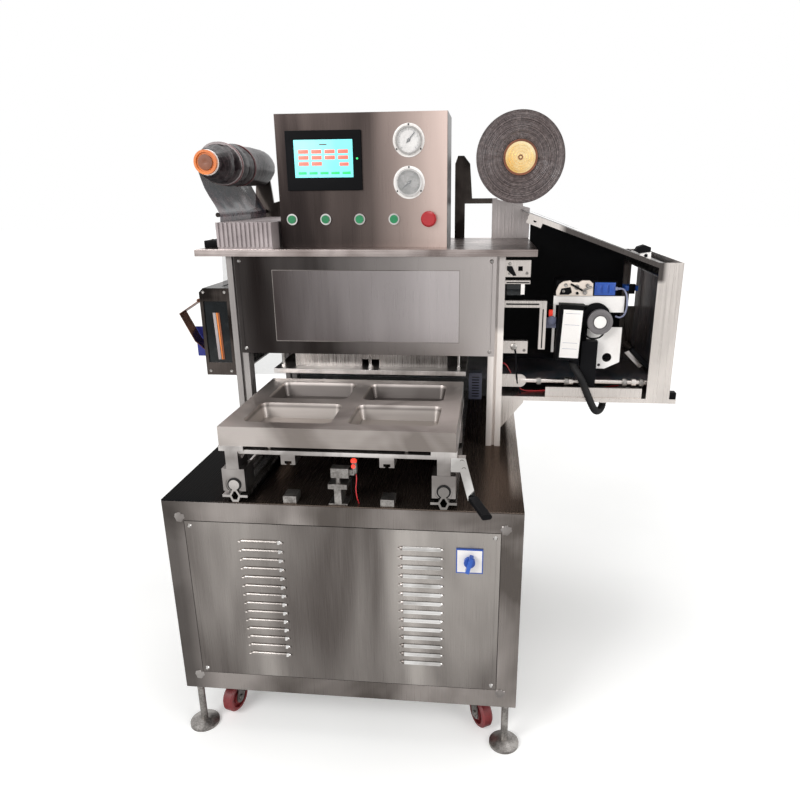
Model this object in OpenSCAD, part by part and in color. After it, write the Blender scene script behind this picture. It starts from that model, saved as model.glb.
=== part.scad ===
// Drawer-type vacuum and gas-flush tray sealer on a castored steel cabinet.
// X runs to the machine's right as seen from the front, Y to the back, Z up.
// Every sub-part is drawn about the cabinet (X = 0 at its middle, Y = 0 at its front face)
// and then moved so that the origin is the middle of the whole footprint, on the floor.

/* [Cabinet] */
// Width of the cabinet frame
cab_w = 850; // [780:10:1000]
// Depth of the cabinet frame
cab_d = 920; // [915:5:1050]
// Height of the table surface above the floor
table_h = 670; // [620:5:760]
// Clear height under the cabinet frame
leg_h = 135; // [125:5:180]
// Side of the square frame tube
tube = 50; // [40:1:55]
// Wall of the frame tube
wall_t = 2; // [1.5:0.5:3]
// Thickness of the table sheet
top_t = 3; // [2:0.5:6]
// Thickness of the cabinet and hood panels
panel_t = 1.5; // [1:0.5:3]

/* [Front panel] */
// Louvres in each of the two columns
louvre_count = 14; // [6:1:15]
// Length of one louvre
louvre_w = 108; // [60:1:130]
// Distance between the centre lines of the two columns
louvre_span = 381; // [280:1:460]
// Side of the isolator's square plate
plate_side = 60; // [48:1:70]

/* [Feet and casters] */
// Diameter of a foot's pad
foot_d = 76; // [60:1:80]
// Diameter of a caster's wheel
wheel_d = 80; // [60:1:84]
// Width of a caster's wheel
wheel_w = 30; // [20:1:34]
// Distance from a caster's swivel axis to its axle
caster_trail = 30; // [22:1:32]
// Distance of the casters from the centre line
caster_x = 325; // [300:1:327]
// Distance of the casters from the front or rear face
caster_in = 110; // [108:1:140]

/* [Mould carriage] */
// Width of the tray mould
mould_w = 540; // [520:2:560]
// Depth of the tray mould
mould_d = 420; // [415:1:424]
// Thickness of the tray mould
mould_t = 46; // [40:1:60]
// Sliding travel of the carriage into the sealing station
carriage_travel = 446; // [400:1:448]
// Width of a tray pocket at the mould's top face
pocket_w = 208; // [150:1:220]
// Depth, front to back, of a tray pocket at the mould's top face
pocket_d = 150; // [100:1:165]
// How deep a tray pocket is
pocket_h = 36; // [20:1:38]
// Distance between the pockets' centres across the mould
step_x = 246; // [232:1:260]
// Distance between the pockets' centres from front to back
step_y = 191; // [180:1:200]
// Distance between the two rails
rail_gauge = 486; // [470:1:500]
// Diameter of the rail shafts
shaft_d = 25; // [20:1:28]
// Height of the rail shafts' axis above the table
shaft_rise = 43; // [40:1:50]

/* [Sealing station] */
// Distance of the uprights' front face behind the cabinet's front face
front_y = 420; // [414:1:430]
// Side of the upright profile
upright = 40; // [36:1:45]
// Outer width over the uprights
station_w = 750; // [740:2:780]
// Length of the uprights
upright_h = 540; // [520:5:600]
// Width of the film frame under the head
head_w = 550; // [540:1:560]
// Depth of the film frame under the head
head_d = 420; // [400:1:424]
// Thickness of the film frame under the head
head_t = 13; // [8:1:18]
// Downward travel of the head
head_travel = 8; // [4:1:12]
// Height of the hood panel
hood_h = 265; // [230:5:270]

/* [Shelf and control box] */
// Width of the shelf
shelf_w = 910; // [900:5:930]
// Depth of the shelf
shelf_d = 497; // [490:1:520]
// Width of the control box
box_w = 450; // [430:5:480]
// Height of the control box
box_h = 335; // [320:5:380]
// Depth of the control box
box_d = 170; // [140:5:220]
// Width of the operator panel's bezel
hmi_w = 200; // [180:1:210]
// Height of the operator panel's bezel
hmi_h = 147; // [130:1:150]
// Diameter of a push button's collar
collar_d = 29; // [26:0.5:34]
// Diameter of the emergency stop's head
mushroom_d = 40; // [32:1:44]
// Travel of the push buttons
button_travel = 4; // [2:0.5:5]

/* [Film] */
// Outer diameter of the full film roll
roll_d = 220; // [150:5:225]
// Length of the film roll
roll_l = 450; // [440:1:450]
// Outer diameter of the film roll's core
core_d = 84; // [80:1:90]
// Outer diameter of the wound scrap film
scrap_d = 116; // [90:2:124]
// Width of the film web
film_w = 396; // [376:4:400]

/* [Film wing] */
// Reach of the wing's floor beyond the uprights
wing_w = 466; // [460:1:525]
// Thickness of the wing's floor
wing_t = 12; // [8:1:16]
// Height of the wing's end channel
end_h = 360; // [350:5:380]
// Width of the pull unit
pull_w = 86; // [82:1:105]

/* [Hidden] */
$fa = 5;
$fs = 0.9;

// Overrun of every cut, and the gaps between pieces that move on each other
over = 1;
seat = 0.3;
run_fit = 0.05;
screw_fit = 0.2;
film_t = 0.3;

// Cabinet frame and its panels
half_w = cab_w / 2;
frame_top = table_h - top_t;
open_x = half_w - tube;
open_y1 = cab_d - tube;
open_z0 = leg_h + tube;
open_z1 = frame_top - tube;
tab_w = 26;
tab_t = 3;
corner_plate_t = 6;
pan_z = leg_h + corner_plate_t;
panel_gap = 1;
screw_d = 5;
screw_head_d = 11;
screw_head_h = 3;
screw_share = 0.6;
screw_in = 13;
screw_bite = 8;

// Air inlet and cable gland on the rear panel
inlet_x = 120;
inlet_rise = 90;
inlet_d = 20;
inlet_bore_d = 11.4;
inlet_nut_d = 30;
inlet_nut_h = 8;
inlet_l = 18;

// Louvres
louvre_r = 5;
louvre_rise = 65;
louvre_drop = 51.1;
louvre_pitch = (open_z1 - louvre_drop - open_z0 - louvre_rise) / (louvre_count - 1);
louvre_wall = 1.2;
louvre_slot = 3.5;

// Isolator
isolator_drop = 126;
isolator_z = table_h - isolator_drop;
isolator_x = 304;
isolator_t = 4;
switch_in = 5;
switch_l = 30;
switch_hole_d = 16;
knob_d = 26;
knob_h = 8;
knob_turn = 14;
knob_grip_w = 9;
knob_grip_l = 40;
knob_grip_h = 14;
knob_shaft_d = 8;
knob_shaft_l = 20;

// Feet
foot_h = 16;
stem_d = 18;
foot_x = half_w - tube / 2;
foot_y = tube / 2;
foot_edge_share = 0.45;
foot_hub_d = 32;
foot_nut_d = 30;
foot_nut_h = 10;
foot_plug = 30;

// Casters
wheel_gap = 4;
pad_side = 70;
corner_plate_w = caster_in - tube + pad_side / 2 + tab_t;
pad_t = 4;
swivel_d = 48;
swivel_h = 14;
kingpin_d = 12;
king_head_d = 20;
king_head_h = 4;
fork_t = 3;
fork_side = 4;
fork_lean = 20;
fork_arm_w = 30;
axle_d = 10;
axle_head_d = 16;
axle_head_h = 4;
hub_share = 0.45;
rim_share = 0.72;
web_share = 0.35;
tread_share = 0.12;
fork_turn_left = -105;
fork_turn_right = -60;
axle_z = wheel_gap + wheel_d / 2;
fork_w = wheel_w + 2 * fork_side;
plate_z0 = leg_h - pad_t;
crown_z1 = plate_z0 - seat - swivel_h;
kingpin_z = crown_z1 - fork_t - seat;
caster_y2 = cab_d - caster_in;

// Rails and bearing blocks
rail_x = rail_gauge / 2;
shaft_z = table_h + shaft_rise;
shaft_r = shaft_d / 2;
rail_in = 2;
rail_end_in = 15;
rail_l = cab_d - rail_in - rail_end_in;
rail_foot_w = 14;
rail_flange_w = 60;
rail_flange_t = 6;
flange_rise = 12;
diamond_w = 27;
diamond_mid = 16;
diamond_h = 34;
rail_share = 0.62;
rail_neck = 7;
block_w = 54;
block_h = 55;
block_l = 60;
block_drop = 16;
block_mouth = 22;
block_throat = 14;
throat_drop = 8;
bearing_d = 40;
seal_in = 2;
block_z0 = shaft_z - block_drop;
block_z1 = block_z0 + block_h;

// Carriage and mould
mould_in = 4;
post_w = 30;
post_h = 44;
cap_w = 58;
cap_t = 13;
deck_t = 10;
deck_gap = 10;
deck_in = 4;
runner_w = 34;
runner_h = 26;
runner_x = 114;
runner_in = 10;
groove = 8;
groove_wide = 16;
groove_lip = 2.5;
groove_deep = 9;
bracket_leg = 28;
bracket_t = 5;
bracket_l = 26;
bracket_in = 24;
cap_z0 = block_z1 + post_h;
mould_z0 = cap_z0 + cap_t;
mould_z1 = mould_z0 + mould_t;
mould_y1 = mould_in + mould_d;
mould_y = mould_in + mould_d / 2;
deck_z1 = mould_z0 - deck_gap;
deck_z0 = deck_z1 - deck_t;
block_y2 = mould_y1 - block_l;
pocket_taper = 9;
pocket_r = 20;
fitting_x = 158;
fitting_in = 16;
fitting_d = 7;
fitting_l = 16;
fitting_nut_d = 9.5;
fitting_nut_l = 6;

// Pull handle
handle_w = 20;
handle_t = 6;
handle_x = rail_x + 38;
handle_top = 8;
handle_lean = 14;
handle_drop = 107;
clamp_h = 36;
clamp_t = 14;
clamp_bolt_d = 10;
clamp_bolt_h = 3;
bolt_share = 0.75;
grip_l = 90;
grip_start = 5;
grip_w = 24;
grip_t = 12;
grip_yaw = 20;
grip_pitch = 1.5;
grip_core_share = 0.9;
core_w = 16;
core_t = 5;
handle_z = cap_z0;
handle_z0 = mould_z0 - handle_top - handle_drop;
bend_x = handle_x + handle_drop * tan(handle_lean);
grip_y = mould_in + handle_t / 2;
grip_z = handle_z0 + grip_t / 2;

// Table stops, the centre stand with its catch, and the sensor
stop_h = 18;
stop_w = 31;
stop_l = 40;
stop_in = 5;
stand_w = 44;
stand_t = 12;
stand_stem = 16;
stand_base_t = 4;
stand_l = 46;
stand_h = 52;
stand_z1 = table_h + stand_h;
catch_bolt_d = 12;
catch_bolt_h = 16;
catch_w = 41;
catch_h = 23;
catch_l = 24;
catch_side = 14;
catch_z = stand_z1 + catch_bolt_h;
sensor_x = 39;
sensor_d = 14;
sensor_h = 34;
sensor_lift = 26;
sensor_arm_t = 5;

// Sealing station
cyl_side = 110;
side_x = station_w / 2;
wing_x = side_x + wing_w;
pull_x = side_x + pull_w;
hood_in = 23;
hood_w = station_w - 2 * hood_in;
inner_x = side_x - upright;
rear_y = cab_d - upright;
film_z = mould_z1 + seat;
head_z0 = film_z + film_t + seat + head_travel;
head_z1 = head_z0 + head_t;
head_y = mould_in + carriage_travel;
head_mid_y = head_y + head_d / 2;
shelf_t = 2;
shelf_edge = 18;
shelf_z = table_h + upright_h + shelf_t;
hood_z1 = shelf_z - shelf_edge;
hood_z0 = hood_z1 - hood_h;
back_pane_in = 10;
back_pane_y = cab_d - back_pane_in;
pane_t = 3;
die_lap = 6;
die_h = 22;
die_w = pocket_w - 2 * die_lap;
frame_lap = 16;
heater_t = 15;
heater_z0 = head_z1 + die_h;
heater_z1 = heater_z0 + heater_t;
column_d = 10;
column_x = 254;
column_in = 34;
col_nut_d = 17;
col_nut_h = 7;
column_top = 14;
bridge_t = 16;
bridge_low = 210;
bridge_z = shelf_z - shelf_t - bridge_low - bridge_t;
bridge_in = 5;
bridge_tab = 40;
bridge_tab_t = 8;
bush_d = 22;
bush_h = 12;
rod_d = 25;
rod_flange_d = 70;
rod_flange_t = 10;
cyl_h = 150;
cyl_cap = 24;
bore_d = 88;
piston_h = 20;
tie_d = 12;
tie_in = 12;
cyl_z0 = bridge_z + bridge_t;
column_z1 = cyl_z0 + bush_h + column_top + col_nut_h;
piston_z1 = cyl_z0 + cyl_h - cyl_cap - seat;

// Shelf, control box and what is on its face
gauge_d = 82;
shelf_x = shelf_w / 2;
shelf_lead = 15;
shelf_y = front_y - shelf_lead;
shelf_y1 = shelf_y + shelf_d;
box_shift = -5;
box_in = 64;
box_wall = 1.5;
box_x = box_shift - box_w / 2;
box_y = shelf_y + box_in;
box_z1 = shelf_z + box_h;
hmi_in_x = 27;
hmi_rise = 147;
hmi_t = 7;
hmi_lip = 8;
hmi_back = 40;
screen_in = 22;
screen_low = 32;
screen_deep = 1.5;
hmi_x = box_x + hmi_in_x;
hmi_z = shelf_z + hmi_rise;
gauge_in_x = 350;
gauge_rise = 165;
gauge_step = 102;
flange_t = 2;
gauge_rim_d = 68;
gauge_rim_h = 11;
gauge_bowl_d = 60;
gauge_bowl_h = 8;
gauge_back_d = 58;
gauge_back_l = 34;
gauge_stem_d = 12;
gauge_stem_l = 16;
gauge_x = box_x + gauge_in_x;
gauge_z = shelf_z + gauge_rise;
needle_l = 24;
needle_tail = 8;
needle_w = 3;
needle_t = 1;
needle_hub_d = 8;
needle_pin_d = 3;
needle_pin_l = 5;
needle_gap = 2;
upper_turn = 40;
lower_turn = -130;
button_in_x = 33;
button_step = 92;
button_rise = 74;
button_x = box_x + button_in_x;
button_z = shelf_z + button_rise;
collar_h = 6;
neck_d = 22;
neck_l = 34;
neck_floor = 3;
cap_d = 21;
cap_proud = 5;
stem_bore_d = 9;
button_slack = 0.1;
stop_in_x = 402;
stop_x = box_x + stop_in_x;
stop_collar_d = 34;
stop_rim_h = 9;
stop_stem_d = 14;
mushroom_h = 12;
cap_side_share = 0.6;
cap_top_share = 0.8;

// Film rolls and the plates that carry them
roll_in_x = 52;
roll_rise = 221;
roll_x = shelf_x - roll_in_x;
roll_z = shelf_z + roll_rise;
rear_plate_t = 8;
rear_plate_in = 12;
back_y = shelf_y1 - rear_plate_in - rear_plate_t;
roll_gap = 2;
roll_y1 = back_y - roll_gap;
roll_y = roll_y1 - roll_l;
core_wall = 4;
chuck_d = 64;
chuck_l = 26;
chuck_proud = 7;
spindle_d = 30;
take_in_x = 49;
take_rise = 219;
take_x = take_in_x - shelf_x;
take_z = shelf_z + take_rise;
tube_d = 57;
tube_end_d = 61;
tube_end_l = 6;
tube_cap_in = 4;
take_y = front_y;
scrap_in = 20;
scrap_y = take_y + scrap_in;
scrap_l = roll_y1 - scrap_y;
front_share = 0.86;
full_share = 0.2;
rear_share = 0.95;
boss_d = 70;
boss_l = 14;
spindle_tail = 12;
nut_d = 46;
nut_h = 8;
plate_x0 = 338;
plate_x1 = 457;
plate_low = 92;
plate_high = 122;
plate_arm_w = 76;
plate_arm_top = 38;
bar_h = 16;
mast_x0 = 219;
mast_w = 32;
ear_w = 56;
ear_z = 249;
ear_top = 9;
ear_shoulder = 24;
ear_bolt_d = 14;
take_bar_in = 53;
take_bar_rise = 87;
take_bar_d = 12;
take_bar_x = take_bar_in - shelf_x;
take_bar_z = shelf_z + take_bar_rise;

// Ribbed box on the shelf, left of the control box
rib_in = 65;
rib_box_w = 150;
rib_box_h = 69;
rib_lead = 8;
rib_rear = 2;
rib_w = 6;
rib_pitch = 12;
rib_count = 13;
rib_proud = 4;
rib_low = 6;
rib_x = rib_in - shelf_x;
rib_y = shelf_y + rib_lead;
rib_y1 = back_y - rib_rear;

// Film wing
end_flange = 61;
wing_rise = 148;
wing_z1 = table_h + wing_rise;
wing_z0 = wing_z1 - wing_t;
end_in = 18;
end_t = 3;
end_x1 = wing_x - end_in;
end_x0 = end_x1 - end_flange;
end_z1 = wing_z1 + end_h;
cover_in = 56;
cover_x0 = side_x + cover_in;
cover_rise = 88;
cover_z0 = shelf_z + cover_rise;
cover_t = 3;
cover_edge = 12;
slope = atan((cover_z0 - end_z1) / (end_x0 - cover_x0));
cover_lap = 4;
cover_l = (end_x0 - cover_x0) / cos(slope) + cover_lap;
lug_l = 40;
lug_h = 24;
lug_hole_d = 9;
turn_d = 40;
turn_in = 20;
bar_d = 24;
journal_d = 12;
journal_clear = 2;
slot_in = 24;
slot_w = 20;
slot_h = 152;
slot_low = 29;
gusset_w = 60;
gusset_h = 80;
gusset_t = 6;
guide_d = 12;
guide_in = 22;
guide_rise = 188;
guide_y = front_y + guide_in;
guide_z = table_h + guide_rise;
ring_d = 20;
ring_l = 12;
collar_shares = [0.3, 0.74];
link_w = 67;
link_h = 36;
link_t = 8;
side_bar_w = 20;
sensor_reach = 112;
sensor_drop = 112;
beam_rise = 390;
beam_z = table_h + beam_rise;
beam_h = 18;
clip_reach = 66;
clip_rise = 470;
clip_z = table_h + clip_rise;
clip_h = 43;
clip_hole = 12;
clip_gap = 9;
low_clip_rise = 266;
low_clip_z = table_h + low_clip_rise;
low_clip_h = 34;
duct_out = 119;
duct_x0 = side_x + duct_out;
duct_l = 257;
duct_t = 12;
duct_h = 27;
duct_in = 4;
back_in = 85;
back_x0 = side_x + back_in;
back_t = 2;

// Coder
coder_in = 42;
coder_y = front_y + coder_in;
coder_out = 131;
coder_x = side_x + coder_out;
coder_w = 185;
coder_rise = 418;
coder_h = 197;
coder_z1 = table_h + coder_rise;
coder_t = 4;
coder_front = coder_y - coder_t;
band_w = 24;
notch_z = 43;
notch_w = 38;
notch_h = 40;
neck_w = 42;
notch_x = coder_w - notch_w;
neck_z = notch_z + notch_h;
lobe_w = 91;
lobe_cut = 19;
plate_hole_d = 25;
plate_hole_in = 34;
plate_hole_drop = 166;
small_hole_d = 8;
small_hole_in = 54;
small_hole_drop = 187;
arm_w = 7;
arm_h = 153;
carrier_in = 78;
carrier_w = 42;
carrier_t = 28;
carrier_low = 116;
carrier_clamp = 12;
case_w = 58;
case_h = 144;
case_d = 44;
case_in = 18;
case_drop = 20;
case_lean = 2.5;
motor_in = 6;
motor_w = 110;
motor_up = 40;
motor_deep = 70;
motor_h = 60;
valve_w = 48;
valve_h = 22;
valve_up = 16;
coder_knob_in = 122;
coder_knob_drop = 65;
coder_knob_d = 66;
coder_knob_h = 26;
coder_hub_d = 33;
coder_pin_d = 10;
coder_pin_l = 18;
knob_dish = 3;
tip_d = 14;
tip_l = 20;
tip_drop = 28;
hose_d = 20;
hose_ball = 0.4;
hose_wall = 2;
hose_side_share = 0.65;
hose_in = 56.4;
hose_in_z = 12.5;
hose_bend_x = 22;
hose_run_x = 36;
hose_out = 11;
hose_drop = 28;
hose_bend = 12;
hose_end_x = coder_x + hose_in + hose_bend_x + hose_run_x + 3 * hose_bend;
hose_end_y = front_y + carrier_t + hose_d;
gland_d = 30;
gland_h = 12;

// Film pull unit on the left
pull_rise = 193;
pull_h = 245;
pull_z0 = table_h + pull_rise;
pull_z1 = pull_z0 + pull_h;
pull_t = 4;
pull_chamfer = 12;
band_h = 36;
frame_side = 9;
draw_d = 60;
draw_in = 73;
guard_out = 66;
guard_hinge = 35;
guard_drop = 37;
guard_side = 29;
guard_fall = 115;
guard_end = 139;
guard_t = 2;
guard_l = 45;
guard_in = 5;
guard_gap = 1;
guard_eye_d = 10;
guard_pin_d = 5;
guard_eye_l = 12;
hinge_x = -pull_x - guard_gap - guard_eye_d / 2;
hinge_z = pull_z1 - guard_hinge;
guard_y = front_y + guard_in;
motor_d = 56;
motor_out = 15;
motor_l = 110;
motor_rise = 85;
motor_in_y = 60;
motor_clear = 4;
motor_cap_share = 0.7;
motor_y = front_y + motor_in_y;
motor_z = pull_z0 + motor_rise;
mount_t = 6;
mount_h = 86;
mount_out = 30;
cap_end_l = 16;
bearing_in = 20;
bearing_y = front_y + bearing_in;
bearing_y1 = rear_y - mount_t - bearing_in / 2;

// Film path, along the middle of the web's thickness
roll_path = roll_d / 2 + seat + film_t / 2;
turn_path = turn_d / 2 + seat + film_t / 2;
bar_path = bar_d / 2 + seat + film_t / 2;
draw_path = draw_d / 2 + seat + film_t / 2;
take_path = scrap_d / 2 + seat + film_t / 2;
web_z = film_z + film_t / 2;
turn_x = end_x0 + turn_in;
roll_dir = [sin(slope), cos(slope)];
leave = [roll_x, roll_z] - roll_path * roll_dir;
turn_run = turn_x + turn_path * roll_dir[0] - leave[0];
turn_z = leave[1] - turn_run * tan(slope) - turn_path * roll_dir[1];
bar_x = turn_x + turn_path - bar_path;
bar_z = web_z + bar_path;
guide_path = take_bar_d / 2 + seat + film_t / 2;
draw_x = draw_in - pull_x;
draw_z = web_z + draw_path;
rise_v = [take_bar_x - draw_x, take_bar_z - draw_z];
rise_turn = atan2(rise_v[1], rise_v[0]) + acos((draw_path + guide_path) / norm(rise_v));
wind_v = [take_x - take_bar_x, take_z - take_bar_z];
wind_turn = atan2(wind_v[1], wind_v[0]) + acos(-(take_path + guide_path) / norm(wind_v));
rise_from = ring_at([draw_x, draw_z], draw_path, rise_turn);
rise_to = ring_at([take_bar_x, take_bar_z], guide_path, rise_turn + 180);
film_slot = 8;
film_y = head_mid_y - film_w / 2;
web_steps = 16;
wrap = 50;

// The whole footprint, which sets the origin
guard_tip_x = -pull_x - guard_out;
motor_x = -pull_x - motor_out;
left_reach = min(guard_tip_x, motor_x - motor_d / 2);
grip_round = grip_t / 2 * norm([sin(grip_yaw), sin(grip_pitch) * cos(grip_yaw)]);
grip_edge = (grip_w - grip_t) / 2 * sin(grip_yaw) + grip_round;
front_reach = grip_y - (grip_start + grip_l) * cos(grip_pitch) * cos(grip_yaw) - grip_edge;
mid_x = (wing_x + left_reach) / 2;
mid_y = (cab_d + inlet_l + front_reach) / 2;

// A box given by its two limits on each axis
module span(x, y, z) {
  translate([x[0], y[0], z[0]]) cube([x[1] - x[0], y[1] - y[0], z[1] - z[0]]);
}

// A cylinder along Y that starts at the given point
module along_y(x, y, z, d, l) {
  translate([x, y, z]) rotate([-90, 0, 0]) cylinder(d = d, h = l);
}

// A cylinder along X that starts at the given point
module along_x(x, y, z, d, l) {
  translate([x, y, z]) rotate([0, 90, 0]) cylinder(d = d, h = l);
}

// Its children moved from the cabinet's axes to the part's origin
module on_floor() {
  translate([-mid_x, -mid_y, 0]) children();
}

// Its children once on the right and once mirrored on the left
module both_sides() {
  children();
  mirror([1, 0, 0]) children();
}

// A profile extruded along Y, drawn in X and Z
module sheet_y(y, l) {
  translate([0, y + l, 0]) rotate([90, 0, 0]) linear_extrude(l) children();
}

// Frame tube along one axis, as its outside or as the space inside it
module tube_x(x, y, z, l, wall) {
  translate([x + wall, y + wall, z + wall]) cube([l - 2 * wall, tube - 2 * wall, tube - 2 * wall]);
}

module tube_y(x, y, z, l, wall) {
  translate([x + wall, y + wall, z + wall]) cube([tube - 2 * wall, l - 2 * wall, tube - 2 * wall]);
}

module tube_z(x, y, z, l, wall) {
  translate([x + wall, y + wall, z]) cube([tube - 2 * wall, tube - 2 * wall, l - wall]);
}

// All the tubes of the cabinet frame
module frame_tubes(wall) {
  ends_y = [0, cab_d - tube];
  for (x = [-half_w, half_w - tube], y = ends_y)
    tube_z(x, y, leg_h, frame_top - leg_h, wall);
  for (y = ends_y, z = [leg_h, frame_top - tube])
    tube_x(-half_w, y, z, cab_w, wall);
  tube_x(-half_w, front_y, frame_top - tube, cab_w, wall);
  for (x = [-half_w, half_w - tube], z = [leg_h, frame_top - tube])
    tube_y(x, 0, z, cab_d, wall);
}

// Small plates behind the corners of an opening, which the panel's screws hold
module corner_tabs() {
  for (x = [-open_x - wall_t, open_x - tab_w], z = [open_z0 - wall_t, open_z1 - tab_w])
    translate([x, panel_t, z]) cube([tab_w + wall_t, tab_t, tab_w + wall_t]);
}

// Places of the screws in the front panel's corners
module panel_corners() {
  for (x = [-open_x + screw_in, open_x - screw_in], z = [open_z0 + screw_in, open_z1 - screw_in])
    translate([x, 0, z]) children();
}

// Places of the four feet
module at_feet() {
  for (x = [-foot_x, foot_x], y = [foot_y, cab_d - foot_y])
    translate([x, y, 0]) children();
}

module base_frame() {
  color("silver") on_floor() difference() {
    union() {
      difference() {
        frame_tubes(0);
        frame_tubes(wall_t);
      }
      corner_tabs();
      for (x = [-open_x - wall_t, open_x - corner_plate_w])
        for (y = [tube - wall_t, cab_d - tube - corner_plate_w])
          translate([x, y, leg_h])
            cube([corner_plate_w + wall_t, corner_plate_w + wall_t, corner_plate_t]);
    }
    at_feet() translate([0, 0, leg_h])
      cube([tube - 2 * wall_t, tube - 2 * wall_t, 2 * wall_t + over], center = true);
    panel_corners() along_y(0, panel_t - over, 0, screw_d, tab_t + 2 * over);
  }
}

module table_top() {
  color("gray") on_floor()
    span([-half_w, half_w], [0, cab_d], [frame_top, table_h]);
}

// One pressed louvre: a hollow quarter round that opens downwards
module louvre() {
  difference() {
    translate([-louvre_w / 2, 0, 0]) rotate([0, 90, 0]) cylinder(r = louvre_r, h = louvre_w);
    translate([louvre_wall - louvre_w / 2, 0, 0]) rotate([0, 90, 0])
      cylinder(r = louvre_r - louvre_wall, h = louvre_w - 2 * louvre_wall);
    translate([-louvre_w, -2 * louvre_r, -2 * louvre_r])
      cube([2 * louvre_w, 4 * louvre_r, 2 * louvre_r]);
    translate([-louvre_w, panel_t / 2, -louvre_r])
      cube([2 * louvre_w, 2 * louvre_r, 3 * louvre_r]);
  }
}

// Places of the louvres on the front panel
module at_louvres() {
  for (x = [-louvre_span / 2, louvre_span / 2], i = [0 : louvre_count - 1])
    translate([x, 0, open_z0 + louvre_rise + i * louvre_pitch]) children();
}

module front_panel() {
  color("lightgray") on_floor() {
    difference() {
      span([-open_x + panel_gap, open_x - panel_gap], [0, panel_t],
        [open_z0 + panel_gap, open_z1 - panel_gap]);
      at_louvres() translate([louvre_wall - louvre_w / 2, -over, 0])
        cube([louvre_w - 2 * louvre_wall, panel_t + 2 * over, louvre_slot]);
      panel_corners() along_y(0, -over, 0, screw_d + 2 * screw_fit, panel_t + 2 * over);
      along_y(isolator_x, -over, isolator_z, switch_hole_d + 2 * screw_fit, panel_t + 2 * over);
    }
    at_louvres() louvre();
  }
}

// Places of the air inlet and the cable gland in the rear panel
module at_inlets() {
  for (x = [-inlet_x, inlet_x])
    translate([x, cab_d - panel_t, open_z0 + inlet_rise]) children();
}

// A threaded tube with a hexagon against the rear panel
module inlet() {
  difference() {
    union() {
      along_y(0, 0, 0, inlet_d, panel_t + inlet_l);
      translate([0, panel_t, 0]) rotate([-90, 0, 0]) cylinder(d = inlet_nut_d, h = inlet_nut_h, $fn = 6);
    }
    along_y(0, -over, 0, inlet_bore_d, panel_t + inlet_l + 2 * over);
  }
}

module cabinet_panels() {
  color("lightgray") on_floor() {
    both_sides() span([half_w - panel_t, half_w], [tube, open_y1], [open_z0, open_z1]);
    difference() {
      span([-open_x, open_x], [cab_d - panel_t, cab_d], [open_z0, open_z1]);
      at_inlets() along_y(0, -over, 0, inlet_bore_d, panel_t + 2 * over);
    }
    span([-open_x, open_x], [tube, open_y1], [pan_z, pan_z + panel_t]);
    at_inlets() inlet();
  }
}

// A cone-headed screw whose head lies on a face that looks along -Y
module panel_screw(l) {
  translate([0, -screw_head_h, 0]) rotate([-90, 0, 0]) {
    cylinder(d1 = screw_head_d * screw_share, d2 = screw_head_d, h = screw_head_h);
    cylinder(d = screw_d, h = screw_head_h + l);
  }
}

// Places of the screws in the hood panel's corners
module hood_corners() {
  for (x = [-hood_w / 2 + screw_in, hood_w / 2 - screw_in])
    for (z = [hood_z0 + screw_in, hood_z1 - screw_in])
      translate([x, front_y - panel_t, z]) children();
}

module panel_screws() {
  color("silver") on_floor() {
    panel_corners() panel_screw(panel_t + tab_t);
    hood_corners() panel_screw(panel_t + screw_bite);
  }
}

module isolator_plate() {
  color("white") on_floor() translate([isolator_x, 0, isolator_z]) difference() {
    union() {
      translate([-plate_side / 2, -isolator_t, -plate_side / 2])
        cube([plate_side, isolator_t, plate_side]);
      along_y(0, -isolator_t, 0, switch_hole_d, isolator_t + 2 * panel_t);
      translate([-plate_side / 2 + switch_in, panel_t, -plate_side / 2 + switch_in])
        cube([plate_side - 2 * switch_in, switch_l, plate_side - 2 * switch_in]);
    }
    along_y(0, -isolator_t - over, 0, knob_shaft_d + 2 * run_fit, knob_shaft_l + over);
  }
}

module isolator_knob() {
  color("blue") on_floor() translate([isolator_x, -isolator_t - seat, isolator_z]) {
    rotate([90, 0, 0]) cylinder(d = knob_d, h = knob_h);
    rotate([0, knob_turn, 0]) translate([-knob_grip_w / 2, -knob_h - knob_grip_h, -knob_grip_l / 2])
      cube([knob_grip_w, knob_grip_h + knob_h / 2, knob_grip_l]);
    along_y(0, -knob_h / 2, 0, knob_shaft_d, knob_h / 2 + knob_shaft_l - over);
  }
}

module levelling_feet() {
  color("silver") on_floor() at_feet() {
    cylinder(d = foot_d, h = foot_h * foot_edge_share);
    translate([0, 0, foot_h * foot_edge_share])
      cylinder(d1 = foot_d, d2 = foot_hub_d, h = foot_h * (1 - foot_edge_share));
    cylinder(d = stem_d, h = leg_h + foot_plug);
    translate([0, 0, leg_h - foot_nut_h]) cylinder(d = foot_nut_d, h = foot_nut_h, $fn = 6);
    translate([-tube / 2 + wall_t, -tube / 2 + wall_t, leg_h])
      cube([tube - 2 * wall_t, tube - 2 * wall_t, foot_plug]);
  }
}

// Side plate of a caster fork, in X and Z
module fork_arm() {
  polygon([
    [-swivel_d / 2 + fork_t, crown_z1],
    [swivel_d / 2 - fork_t, crown_z1],
    [caster_trail, axle_z] + fork_arm_w / 2 * [cos(fork_lean), sin(fork_lean)],
    [caster_trail, axle_z] - fork_arm_w / 2 * [cos(fork_lean), sin(fork_lean)]
  ]);
  translate([caster_trail, axle_z]) circle(d = fork_arm_w);
}

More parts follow.
